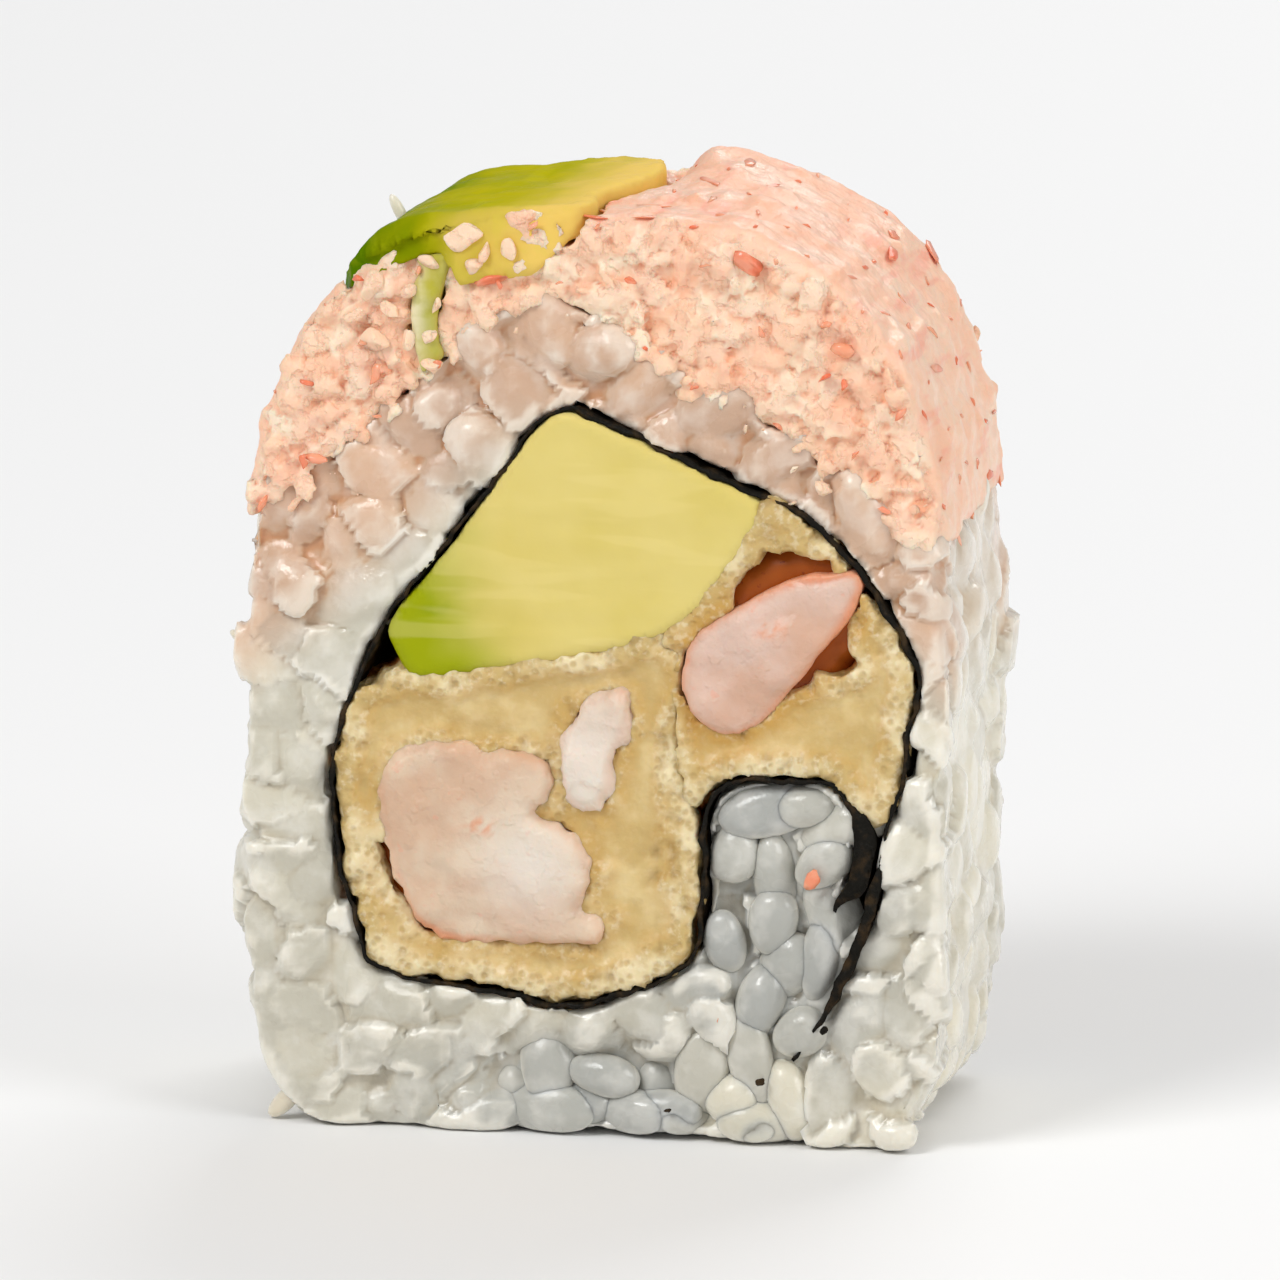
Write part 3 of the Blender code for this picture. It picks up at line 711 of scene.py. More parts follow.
nearest, lead = nearest_grain(drawing)
near_face = smooth_step(FACE - 4.0, FACE - 2.5, np.abs(drawing[:, 1]))
tones = rice_tones(drawing, own_shade[nearest], near_face)
level_draw = np.random.default_rng(53)
levels = level_draw.uniform(-0.3, 0.24, len(centres))[nearest]
tips = level_draw.uniform(-0.12, 0.12, (len(centres), 3))[nearest]
levels += ((drawing - centres[nearest]) * tips).sum(axis=1) - 0.05 * (1 - smooth_step(0.0, 0.15, lead))
levels *= smooth_step(0.1, 0.6, drawing[:, 2])
pillow = 0.36 * (1 - near_face) * (smooth_step(0.0, 0.5, lead) - 0.6)
relief = levels * (0.6 + 0.4 * near_face) + pillow + cloud(drawing, 0.9, 8.0) * 0.06
push = normals * relief[:, None]
push = push * near_face[:, None] + evened(rice_mass, push, 2) * (1 - near_face[:, None])
moved = points + push * MM
moved[:, 2] = np.maximum(moved[:, 2], 0.0)
set_points(rice_mass, moved)
# The crease mask below paints shade into the creases and a highlight on the ridges, in the material.
sunken = hollows(rice_mass, 5) * 6
crease_shade_and_ridge_light = np.clip(sunken - 0.1, 0, 1) - np.clip(-sunken - 0.25, 0, 1)
paint(rice_mass, "grain_tone", *tones, crease_shade_and_ridge_light)
hung(rice_mass, ["rice"])
print("rice:", is_loose.sum(), "loose grains, and a mass of", len(points), "points")

# %% [markdown]
# ## The seaweed sheet
#
# Damp seaweed crinkles as it dries against the rice. The sheet is swept along its path in fine steps, its thickness
# and its line shaken by noise, and its two cut edges are ragged. Real sheets are a tenth as thick as this one looks,
# but the knife drags and swells the edge, and dark gaps beside it read as part of the line.

# %% Sweep the sheet
def nori_sheet():
    line = np.array(bent(NORI_PATH, False, 12))
    steps = np.concatenate([[0], np.cumsum(np.linalg.norm(np.diff(line, axis=0), axis=1))])
    even = np.arange(0, steps[-1], 0.3)
    line = np.stack([np.interp(even, steps, line[:, 0]), np.interp(even, steps, line[:, 1])], axis=1)
    rows = np.linspace(-1, 1, 25)
    stations = []
    for row in rows:
        spots = np.stack([even, np.full(len(even), row * FACE), np.zeros(len(even))], axis=1)
        wobble = cloud(spots, 1.3, 3.0) * 0.24
        half = 0.06 + 0.13 * np.abs(cloud(spots, 2.1, 5.0)) + 0.05 * np.abs(cloud(spots, 0.6, 6.0))
        folded = 0.9 * smooth_step(0.0, 2.0, even) * (1 - smooth_step(4.5, 7.0, even))
        tail = steps[-1] - even
        folded = folded + 0.4 * smooth_step(13.0, 10.5, tail) * smooth_step(2.0, 6.0, tail)
        plain = np.clip(folded * 1.5, 0, 1)
        ragged = (cloud(spots, 0.8, 7.0) * 0.2 - 0.35 * np.abs(cloud(spots, 2.6, 9.0))) * abs(row) * (1 - 0.7 * plain)
        wobble = wobble * (1 - 0.6 * plain)
        y = row * (FACE - 0.05) + np.sign(row) * ragged
        left, right = shifted(line, wobble + half), shifted(line, wobble - half - folded)
        stations.append((np.insert(left, 1, y, axis=1), np.insert(right, 1, y, axis=1)))
    rings = []
    for i in range(len(even)):
        rings.append([left[i] for left, _ in stations] + [right[i] for _, right in reversed(stations)])
    rings = np.array(rings)
    count = rings.shape[1]
    faces = []
    for i in range(len(rings) - 1):
        for j in range(count):
            k = (j + 1) % count
            faces.append((i * count + j, i * count + k, (i + 1) * count + k, (i + 1) * count + j))
    faces.append(tuple(range(count))[::-1])
    faces.append(tuple((len(rings) - 1) * count + j for j in range(count)))
    return rings.reshape(-1, 3), faces


sheet_points, sheet_faces = nori_sheet()
nori = hung(new_object("nori_sheet", placed(sheet_points), sheet_faces), ["nori"])
print("seaweed:", len(sheet_faces), "faces")

# %% [markdown]
# ## Fillings that show at the cut
#
# A filling is a fine copy of its solid, pushed in and out by noise. The avocado gets only faint knife marks. The
# batter is porous at its fried rim and doughy inside, so it is pitted by how close a point lies to the rim. A search
# tree over the side walls gives that distance. The shrimps get soft muscle folds.

# %% Distances to a rim
def distance_to(tree, points):
    return np.array([tree.find(p)[2] for p in points])


def wall_points(piece, front_share=0.5):
    """Points of a piece whose normals look sideways: the walls that run from face to face."""
    points, normals, _ = measured(piece)
    return points[np.abs(normals[:, 1]) < front_share]


def sideways_share(normals):
    """1 on the walls, 0 on the two cut faces."""
    return 1 - smooth_step(0.5, 0.95, np.abs(normals[:, 1]))


def swollen(piece, amount):
    """Moves the side walls outward, so that the piece meets its neighbours without a visible gap."""
    points, normals, _ = measured(piece)
    set_points(piece, points + evened(piece, normals * sideways_share(normals)[:, None], 3) * amount * MM)
    return piece


# %% Avocado filling
avocado = swollen(remeshed("avocado_filling", "avocado_block", 0.3), 0.48)
points, normals, drawing = measured(avocado)
x, z = drawing[:, 0], drawing[:, 2]
knife = cloud(drawing @ np.diag([0.25, 1, 1.6]), 1.6, 2.0) * 0.06
wander = cloud(drawing, 4.0, 12.0) * 1.2
from_corner = (x + 12.0) + (z - 25.7) * 0.45 + wander
green = 1 - smooth_step(2.0, 10.5, from_corner)
smudge = fading(x, z, -8.9, 29.6, 1.5, 0.9) * smooth_step(-0.3, 0.5, cloud(drawing, 0.9, 14.0))
paint(avocado, "flesh_tone", np.clip(green * 1.15, 0, 1), smudge)
set_points(avocado, points + normals * (knife * MM)[:, None])
print("avocado:", len(points), "points")

# %% Batter
shrimp_nodes = ["shrimp_large", "shrimp_scrap", "shrimp_small"]
shrimp_tree = tree_of([v.co for node in shrimp_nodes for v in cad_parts[node].data.vertices])


def batter_piece(node, name, seed, oily):
    """The batter round a shrimp: pitted and crinkled at the rim, smooth and doughy inside, oily in its pockets."""
    piece = swollen(remeshed(node, name, 0.25), 0.5)
    points, normals, drawing = measured(piece)
    walls = wall_points(piece)
    walls = walls[distance_to(shrimp_tree, walls) > 0.0012]
    rim = distance_to(tree_of(walls), points) / MM
    frothy = fading(drawing[:, 0], drawing[:, 2], 2.6, 15.5, 1.7, 5.5)
    depth = rim + cloud(drawing, 1.5, seed + 6) * 0.4 - 1.1 * frothy * smooth_step(0.5, 1.0, rim)
    crisp = 1 - smooth_step(1.15, 1.8, depth)
    lip = np.exp(-(((depth - 1.45) / 0.3) ** 2))
    sideways = sideways_share(normals)
    wall = drawing @ np.diag([1.0, 0.4, 1.0])
    crinkle = np.minimum(cloud(wall, 1.9, seed + 3, 2) * 0.8, 0.2)
    crinkle = crinkle * sideways * (1 - smooth_step(0.3, 1.2, rim))
    near, _ = cells(drawing, 0.9, seed)
    pits = -np.clip(0.42 - near, 0, 1) * 2.4 * (0.2 + 0.8 * crisp) * (cloud(drawing, 2.2, seed) > -0.05)
    cluster = fading(drawing[:, 0], drawing[:, 2], 3.5, 16.2, 0.9, 2.2)
    pits = pits - np.clip(0.50 - near, 0, 1) * 2.0 * cluster
    by_shrimp = distance_to(shrimp_tree, points) / MM
    film = (1 - smooth_step(0.3, 2.2, by_shrimp)) * (1 - sideways)
    sunk = 0.3 * (1 - smooth_step(0.3, 2.0, by_shrimp)) + 0.38 * (1 - crisp) - 0.15 - 0.12 * lip
    swell = cloud(drawing, 2.4, seed + 2) * (0.12 + 0.1 * crisp)
    swell = swell + cloud(drawing, 0.7, seed + 4) * (0.05 + 0.19 * crisp) - sunk * (1 - sideways)
    push = evened(piece, normals * (pits + swell + crinkle)[:, None], 1)
    set_points(piece, points + push * MM)
    pocket = smooth_step(0.9, 1.8, FACE - np.abs(drawing[:, 1]))
    crust = 1 - smooth_step(0.1, 0.45, depth)
    # The second mask marks the pits, which the material paints darker as shade.
    paint(piece, "batter_tone", crisp + crust, np.clip(-pits * 1.6, 0, 1), pocket, film * oily + 0.6 * lip)
    return piece


batter_large = batter_piece("batter_large", "batter_crust_large", 4.0, 0.2)
batter_small = batter_piece("batter_small", "batter_crust_small", 9.0, 1.0)
print("batter:", len(batter_large.data.vertices), len(batter_small.data.vertices), "points")

# %% Oily walls inside the pockets
POCKET_DEPTH = 6.2
UPPER_POCKET = [(7.0, 29.0), (7.2, 32.8), (9.2, 34.0), (11.4, 34.4), (14.8, 32.2), (11.2, 30.6)]
LOWER_POCKET = [(9.2, 24.4), (12.2, 25.7), (15.6, 26.7), (14.9, 28.2), (15.1, 31.4), (12.0, 28.4)]
CRESCENT = [(-13.4, 16.8), (-11.4, 16.8), (-10.2, 13.6), (-8.0, 11.8), (-8.4, 10.2), (-10.4, 10.7), (-12.3, 13.2)]


def pocket_wall(name, loop, front, slope):
    """The batter's oily inner wall, which slopes away from the shrimp into the pocket and is painted darker away from
    the shrimp as shade.
    """
    wall = refined(prism(name, loop, -FACE + front, -FACE + POCKET_DEPTH), 0.3)
    points, _, drawing = measured(wall)
    away = distance_to(shrimp_tree, points) / MM
    facing = 1 - smooth_step(front, front + 1.2, drawing[:, 1] + FACE)
    points[:, 1] += facing * (slope * smooth_step(0.8, 3.0, away) + cloud(drawing, 1.5, 21.0) * 0.2) * MM
    set_points(wall, points)
    paint(wall, "wall_depth_shade", smooth_step(1.0, 2.8, away))
    return hung(wall, ["batter_small" if loop[0][0] > 0 else "batter_large"])


pocket_walls = [
    pocket_wall("batter_wall_upper", UPPER_POCKET, 0.9, 1.2),
    pocket_wall("batter_wall_lower", LOWER_POCKET, 0.7, 3.2),
    pocket_wall("batter_wall_crescent", CRESCENT, 1.2, 1.0),
]
print("pocket walls:", [len(wall.data.vertices) for wall in pocket_walls], "points")

# %% Shrimp
MUSCLE_LAYERS = (0.0, 0.2, -0.24)
RED_SPOTS = ((-6.4, 17.5), (9.9, 29.3))
SMALL_MIDDLE = (10.0, 28.0)
ACROSS_X, ACROSS_Z = 0.62, 0.78
FAR_AWAY = (-30.0, 0.0)


def shrimp_piece(node, name, seed, white_at, white_reach, torn, red_at, rosy):
    """Cooked shrimp, cut across: flat layers of muscle, torn at the edge, whitest and reddest round given places."""
    piece = swollen(remeshed(node, name, 0.22), 0.25 - 0.15 * rosy)
    points, normals, drawing = measured(piece)
    edge = distance_to(tree_of(wall_points(piece)), points) / MM
    sideways = sideways_share(normals)
    layer = cloud(drawing @ np.diag([1, 0.3, 1]), 4.0, seed, 2)
    layers = 0.16 * sum(smooth_step(edge_of - 0.04, edge_of + 0.04, layer) for edge_of in MUSCLE_LAYERS)
    folds = layers - 0.22 + cloud(drawing, 1.1, seed + 1) * 0.12
    bevel = 0.35 * (smooth_step(0, 0.8, edge) - 0.6)
    rough = cloud(drawing @ np.diag([1, 0.6, 1]), 0.9, seed + 3) * torn * sideways
    push = (folds + bevel) * (1 - sideways) + rough
    moved = points + evened(piece, normals * push[:, None], 1) * MM
    right, up = drawing[:, 0] - SMALL_MIDDLE[0], drawing[:, 2] - SMALL_MIDDLE[1]
    across, upward = right * ACROSS_X - up * ACROSS_Z, right * ACROSS_Z + up * ACROSS_X
    inward = 0.3 * smooth_step(0.0, -2.5, across) * smooth_step(-2.0, 2.0, upward)
    inward = inward - 0.3 * smooth_step(0.0, 2.5, across) * smooth_step(-4.5, 0.0, upward)
    inward = inward * (1 - 0.75 * smooth_step(1.5, 4.5, upward))
    moved[:, 0] += rosy * inward * ACROSS_X * MM
    moved[:, 2] -= rosy * inward * ACROSS_Z * MM
    tip = fading(drawing[:, 0], drawing[:, 2], 14.2, 31.7, 1.0, 0.9) * rosy
    moved[:, 0] += tip * 0.3 * MM
    moved[:, 2] += tip * 0.5 * MM
    set_points(piece, moved)
    away = np.hypot(drawing[:, 0] - white_at[0], drawing[:, 2] - white_at[1]) / white_reach
    near_red = np.exp(-((np.hypot(drawing[:, 0] - red_at[0], drawing[:, 2] - red_at[1]) / 2.6) ** 2))
    red = (1 - smooth_step(0.1, 0.7, edge)) * (0.25 + 0.75 * near_red)
    red = red + rosy * 0.5 * (1 - smooth_step(0.0, 0.35, edge))
    for spot_x, spot_z in RED_SPOTS:
        spot = np.exp(-((np.hypot(drawing[:, 0] - spot_x, (drawing[:, 2] - spot_z) * 1.6) / 0.8) ** 2))
        red = red + spot * smooth_step(-0.2, 0.3, cloud(drawing, 0.5, seed + 9))
    deep = smooth_step(0.8, 1.8, FACE - np.abs(drawing[:, 1]))
    paint(piece, "shrimp_tone", np.clip(red, 0, 1), np.exp(-(away**2)), deep, rosy)
    return piece


shrimps = [
    shrimp_piece("shrimp_large", "shrimp_meat_large", 3.0, (-3.6, 15.3), 2.8, 0.4, (-8.6, 11.4), 0.0),
    shrimp_piece("shrimp_scrap", "shrimp_meat_scrap", 6.0, (-0.6, 20.9), 5.0, 0.7, FAR_AWAY, 0.0),
    shrimp_piece("shrimp_small", "shrimp_meat_small", 8.0, FAR_AWAY, 1.0, 0.1, (12.6, 31.6), 1.0),
]
print("shrimp:", [len(s.data.vertices) for s in shrimps], "points")

# %% [markdown]
# ## The crab topping
#
# Shredded crab is pressed on top of the rice. Where the mat touched it the surface is smooth with faint threads, and
# where the knife went through it is crumbly. The pressed body is a fine copy of the solid, and the crumbs are a crowd
# of rough scraps set into its cut faces. Red scraps come from the meat's dyed skin and are a piece of their own.

# %% Pressed body
def top_dent(x, z, share):
    """How far the top is pressed down beside the slice and heaped up next to it, towards the back."""
    dent = -1.3 * np.exp(-(((x - 0.4) / 1.1) ** 2)) + 0.7 * np.exp(-(((x - 3.9) / 2.2) ** 2))
    return dent * smooth_step(46.0, 50.0, z) * smooth_step(0.35, 0.9, share)


crab_body = refined(linked("crab_body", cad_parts["crab_topping"].data.copy()), 0.3)
points, _, drawing = measured(crab_body)
points[:, 2] += top_dent(drawing[:, 0], drawing[:, 2], (drawing[:, 1] + FACE) / DEPTH) * MM
set_points(crab_body, points)
print("pressed crab:", len(points), "points")

# %% Crumbs
def scrap_shapes(how_many, seed):
    """Unit scraps of torn meat, each a ball with its sides broken off along planes and roughened by noise."""
    draw = np.random.default_rng(seed)
    shapes = []
    for i in range(how_many):
        shape = ball_points.copy()
        for _ in range(9):
            facing = draw.normal(size=3)
            facing /= np.linalg.norm(facing)
            over = np.maximum(shape @ facing - draw.uniform(0.35, 0.8), 0)
            shape -= over[:, None] * facing
        lumps = 1 + 0.22 * cloud(ball_points, 0.6, seed + i, 2) + 0.12 * cloud(ball_points, 0.25, seed + i + 50, 1)
        shapes.append(shape * lumps[:, None] * 1.25)
    return shapes


def crab_here(x, z):
    return (skin_factor(x, z) < 0.985) & (z > seam_height(x) - 0.3) & (np.hypot((x + 9.9) / 0.7, (z - 45.4) / 2.2) > 1)


def strewn(x, z):
    """Where crumbs have fallen a little way down over the rice."""
    reach = 1.4 + 2.2 * np.sin(x * 0.9 + 1.0) * np.sin(x * 0.37)
    return (skin_factor(x, z) < 0.97) & (z < seam_height(x)) & (z > seam_height(x) - reach)


def crumbs_on(side, spacing, seed, back, wanted, shortest, longest):
    """Place, turn and size of each crumb of one layer on one cut face."""
    draw = random.Random(seed)
    for x, z in darts(lambda x, z: spacing, seed, wanted):
        length = draw.uniform(shortest, (shortest + longest) / 2) if draw.random() < 0.6 else longest
        size = [length, length * draw.uniform(0.35, 0.75), length * draw.uniform(0.35, 0.75)]
        turn = Matrix.Rotation(draw.uniform(0, math.pi), 3, "Y") @ Matrix.Rotation(draw.uniform(-0.6, 0.6), 3, "Z")
        above_seam = float(smooth_step(0.0, 2.0, z - seam_height(x)))
        size = [r * (0.7 + 0.3 * above_seam) * draw.uniform(0.85, 1.15) for r in size]
        yield (x, side * (FACE - back - size[1] * 0.7 + draw.uniform(-0.35, 0.25)), z), turn, size


crumb_layers = (
    crumbs_on(-1, 1.05, 31, 0.0, crab_here, 0.45, 1.3),
    crumbs_on(-1, 2.9, 32, -0.1, crab_here, 1.5, 2.7),
    crumbs_on(-1, 1.3, 34, -0.05, strewn, 0.35, 0.95),
    crumbs_on(1, 1.3, 33, 0.05, crab_here, 0.5, 1.8),
    crumbs_on(1, 1.4, 35, 0.0, strewn, 0.4, 1.2),
)
crumb_list = [crumb for layer in crumb_layers for crumb in layer]
scraps = scrap_shapes(14, 2)


def scrap_shape(i):
    return scraps[i % len(scraps)]


crumb_points, crumb_faces, crumb_owners = crowd(scrap_shape, crumb_list)
count = len(crumb_list)
crumb_centres = np.array([place for place, _, _ in crumb_list])
crumb_points = pressed(crumb_points, crumb_owners, count, 35, 0.2)
crumbs = new_object("crab_crumbs", placed(crumb_points), crumb_faces)
crab = refined(joined("crab_meat", crab_body, crumbs), CRAB_VOXEL)
points, normals, drawing = measured(crab)
cut_share = smooth_step(0.5, 0.85, np.abs(normals[:, 1])) * smooth_step(FACE - 2.5, FACE - 1.2, np.abs(drawing[:, 1]))
cut_share = np.maximum(cut_share, smooth_step(FACE - 1.6, FACE - 0.9, np.abs(drawing[:, 1])))
crumb_tree = tree_of(crumb_centres)
nearest = np.array([crumb_tree.find(p)[1] for p in drawing])
own_shade = np.random.default_rng(36).uniform(0, 1, count)[nearest]
grain = cloud(drawing, 0.6, 3.0) * 0.13
threads = cloud(drawing @ np.diag([1.0, 0.45, 1.0]), 1.2, 5.0) * 0.15 + cloud(drawing, 5.0, 6.0) * 0.2
flake_draw = np.random.default_rng(37)
flake = flake_draw.uniform(-0.18, 0.14, count)[nearest]
tips = flake_draw.uniform(-0.16, 0.16, (count, 3))[nearest]
flake += ((drawing - crumb_centres[nearest]) * tips).sum(axis=1)
push = (grain + np.clip(flake, -0.4, 0.3)) * cut_share + threads * (1 - cut_share)
set_points(crab, points + normals * (push * MM)[:, None])
# Painted shade: the crevice mask darkens the crevices between crumbs towards orange in the material.
crevice_shade = np.clip(hollows(crab, 5) * 6.5 - 0.12, 0, 1)
on_top = smooth_step(46.5, 50.0, drawing[:, 2]) * (1 - cut_share)
paint(crab, "crab_tone", cut_share, crevice_shade, own_shade, on_top)
hung(crab, ["crab_topping"])
print("crab:", count, "crumbs in", len(points), "points")

# %% Red scraps
RED_CHIPS = [
    (8.7, 49.4, 1.0), (14.0, 44.8, 0.8), (-5.8, 48.1, 0.9), (-15.9, 37.6, 0.6), (-12.4, 42.5, 0.7), (12.9, 43.4, 0.5),
    (12.3, 15.4, 0.75), (6.9, 7.1, 0.3),
]


def red_scraps():
    """The chips that stand out, some small ones strewn over the cut face, and thin shreds on the rolled side."""
    draw = random.Random(41)
    faint = [(x, z, draw.uniform(0.2, 0.5)) for x, z in darts(lambda x, z: 3.4, 42, crab_here)]
    for x, z, length in RED_CHIPS + faint:
        place = (x, -FACE - 0.02 + draw.uniform(-0.1, 0.1), z)
        turn = Matrix.Rotation(draw.uniform(0, math.pi), 3, "Y")
        yield place, turn, (length, 0.3, length * draw.uniform(0.35, 0.6))
    found, directions = side_places(2.6, 43, lambda x, z: z > seam_height(x) + 0.2, FACE - 0.8)
    surface = BVHTree.FromPolygons([v.co for v in crab.data.vertices], [p.vertices for p in crab.data.polygons])
    for spot, outward in zip(found, directions):
        length = draw.uniform(0.2, 0.5) if draw.random() < 0.75 else draw.uniform(0.6, 1.3)
        on_surface = surface.find_nearest(Vector(placed([spot])[0]))[0]
        place = spot + (np.array(on_surface) - placed([spot])[0]) / MM
        turn = side_turn(outward, draw.gauss(0.0, 0.7))
        yield place, turn, (length, length * draw.uniform(0.2, 0.4), 0.12)


red_list = list(red_scraps())
red_points, red_faces, red_owners = crowd(scrap_shape, red_list)
red = hung(new_object("crab_red_scraps", placed(red_points), red_faces), ["crab_topping"])
red_shade = np.random.default_rng(44).uniform(0, 1, (len(red_list), 3))
paint(red, "red_tone", red_shade[red_owners, 0])
print("red scraps:", len(red_list))

# %% [markdown]
# ## Bits that stand out
#
# A few bits fell or stuck where nothing regular lies: white crumbs on the slice, pointed grains that break the
# outline, and flakes of seaweed. Each list gives the place, the two half sizes and the angle from level. They are
# placed one by one, because the eye knows the piece by them.

# %% Strays
CRUMBS = [
    (-10.6, 44.6, 0.7, 0.4, 80), (-10.4, 47.2, 0.6, 0.4, 20), (-9.0, 46.4, 0.5, 0.3, 70), (-9.4, 48.8, 0.6, 0.4, 150),
    (-7.5, 50.4, 1.15, 0.8, 20), (-6.3, 49.4, 0.7, 0.5, 60), (-4.9, 49.6, 0.8, 0.4, 100), (-12.7, 47.3, 0.9, 0.7, 70),
    (-12.6, 44.4, 0.95, 0.7, 10), (-11.6, 46.0, 0.6, 0.4, 130), (-13.6, 45.8, 0.6, 0.4, 30),
    (-9.4, 44.6, 0.6, 0.4, 40), (-9.2, 43.0, 0.7, 0.5, 10), (-6.9, 48.6, 0.9, 0.6, 30),
]
STRAY_GRAINS = [(-17.7, 1.3, 1.7, 0.6, 48, 1.2), (-20.2, 27.1, 0.9, 0.35, 150, 1.0), (-12.7, 50.4, 1.3, 0.35, 118, 8.0)]
FLAKES = [(9.4, 3.8, 0.3, 0.22, 0), (13.0, 6.9, 0.3, 0.2, 40), (4.1, 1.9, 0.22, 0.15, 20)]


def strays(name, bits, shape_of, replaced, proud):
    """The listed bits as one piece: x, z, half length, half width, angle and, if it isn't at the front, the depth."""
    copies = []
    for x, z, length, width, angle, *depth in bits:
        place = (x, -FACE - proud + (depth[0] if depth else 0.0), z)
        copies.append((place, Matrix.Rotation(-math.radians(angle), 3, "Y"), (length, width, width)))
    made, faces, _ = crowd(shape_of, copies)
    made[:, 2] = np.maximum(made[:, 2], 0.03)
    return hung(new_object(name, placed(made), faces), replaced)


loose_crumbs = strays("crab_crumbs_loose", CRUMBS, scrap_shape, ["crab_topping"], 0.05)
paint(loose_crumbs, "crab_tone", 1.0, 0.0, 0.5)
rounded(loose_crumbs)
stray_grains = strays("rice_grains_stray", STRAY_GRAINS, grain_shape, ["rice"], 0.0)
paint(stray_grains, "grain_tone", 0.3, 0.1)
rounded(stray_grains)
flakes = strays("nori_flakes", FLAKES, scrap_shape, ["nori"], 0.2)
print("strays:", len(CRUMBS), "crumbs,", len(STRAY_GRAINS), "grains and", len(FLAKES), "flakes")

# %% [markdown]
# ## Avocado slices on top
#
# The slice that lies on the roll is bent over its shoulder. Its skin side is dark green and its stone side pale
# yellow, so its colour follows its place across the slice. The second slice only shows its cut end.

# %% Slices
top_slice = remeshed("avocado_slice_top", "avocado_slice_bent", 0.28)
edge_slice = remeshed("avocado_slice_edge", "avocado_slice_end", 0.2)
for slice_piece, seed in ((top_slice, 2.0), (edge_slice, 5.0)):
    points, normals, drawing = measured(slice_piece)
    x = drawing[:, 0] + cloud(drawing @ np.diag([1.0, 0.5, 1.0]), 3.0, seed + 2) * 1.5
    push = cloud(drawing, 4.0, seed) * 0.16 + cloud(drawing @ np.diag([1, 0.4, 1]), 1.0, seed + 1) * 0.06
    push += 0.75 * np.exp(-(((drawing[:, 0] + 11.5) / 2.6) ** 2)) * smooth_step(0.2, 0.6, normals[:, 2])
    set_points(slice_piece, points + normals * (push * MM)[:, None])
    front = 1 - smooth_step(0.4, 2.5, drawing[:, 1] + FACE)
    on_top = float(slice_piece == top_slice)
    yellow = smooth_step(-6.5, -0.5, x) + 0.55 * front * smooth_step(-10.5, -8.0, x) * on_top
    dark = (1 - smooth_step(-14.0, -8.5, x)) * on_top
    smeared = (0.9 - 0.7 * smooth_step(-10.4, -9.2, drawing[:, 0])) * (1 - on_top)
    paint(slice_piece, "slice_tone", dark, np.clip(yellow, 0, 1), smeared)
    if on_top:
        low_front = (1 - smooth_step(0.8, 3.0, drawing[:, 1] + FACE)) * smooth_step(-10.0, -8.0, x)
        low_front = low_front * (1 - smooth_step(-4.0, -1.0, x)) * smooth_step(0.2, -0.4, normals[:, 2])
        points[:, 2] -= low_front * 2.0 * MM
        points[:, 1] -= low_front * 0.5 * MM
        points[:, 2] -= 0.7 * smooth_step(1.4, 0.0, drawing[:, 1] + FACE) * smooth_step(0.0, 0.5, normals[:, 2]) * MM
        set_points(slice_piece, points + normals * (push * MM)[:, None])
print("slices:", len(top_slice.data.vertices), len(edge_slice.data.vertices), "points")

# %% [markdown]
# ## Finishes shared by all the food
#
# Three effects come back in many of these materials, so each is a node group with named inputs: a soft mottle of two
# tones, the fine uneven relief that gives moist food its small highlights, and threads drawn out along one direction.
# The pores of fried batter are a fourth group, which another fried crust could use.

# %% Node helpers
def add_node(tree, kind, **settings):
    node = tree.nodes.new(kind)
    for name, value in settings.items():
        setattr(node, name, value)
    return node


def feed(tree, value, socket):
    """Links a socket, or sets a plain value."""
    if isinstance(value, bpy.types.NodeSocket):
        tree.links.new(value, socket)
    else:
        socket.default_value = value


def mixed(tree, share, first, second, blend="MIX"):
    """Two colours mixed by a share."""
    node = add_node(tree, "ShaderNodeMix", data_type="RGBA", blend_type=blend)
    for value, socket in ((share, node.inputs[0]), (first, node.inputs[6]), (second, node.inputs[7])):
        if isinstance(value, tuple) and len(value) == 3:
            value = (*value, 1.0)
        feed(tree, value, socket)
    return node.outputs[2]


def ranged(tree, value, low, high, new_low=0.0, new_high=1.0):
    node = add_node(tree, "ShaderNodeMapRange", interpolation_type="SMOOTHSTEP")
    for socket, number in zip(node.inputs[:5], (value, low, high, new_low, new_high)):
        feed(tree, number, socket)
    return node.outputs[0]


def maths(tree, operation, first, second):
    node = add_node(tree, "ShaderNodeMath", operation=operation)
    feed(tree, first, node.inputs[0])
    feed(tree, second, node.inputs[1])
    return node.outputs[0]


def times(tree, first, second):
    return maths(tree, "MULTIPLY", first, second)


def tinted(tree, colour, mask, amount, tint):
    """The colour mixed with a tint, by a mask and an amount."""
    return mixed(tree, times(tree, mask, amount), colour, tint)


def bubble_distance(tree, scale):
    """The distance to the nearest of many scattered bubbles."""
    node = add_node(tree, "ShaderNodeTexVoronoi", feature="F1")
    tree.links.new(add_node(tree, "ShaderNodeTexCoord").outputs["Object"], node.inputs["Vector"])
    feed(tree, scale, node.inputs["Scale"])
    return node.outputs["Distance"]


def noise_value(tree, scale, detail=3.0, stretch=None):
    """A noise texture's value in the object's own space, per metre."""
    node = add_node(tree, "ShaderNodeTexNoise")
    feed(tree, scale, node.inputs["Scale"])
    node.inputs["Detail"].default_value = detail
    where = add_node(tree, "ShaderNodeTexCoord").outputs["Object"]
    if stretch:
        mapping = add_node(tree, "ShaderNodeMapping")
        mapping.inputs["Scale"].default_value = stretch
        tree.links.new(where, mapping.inputs["Vector"])
        where = mapping.outputs["Vector"]
    tree.links.new(where, node.inputs["Vector"])
    return node.outputs["Fac"]


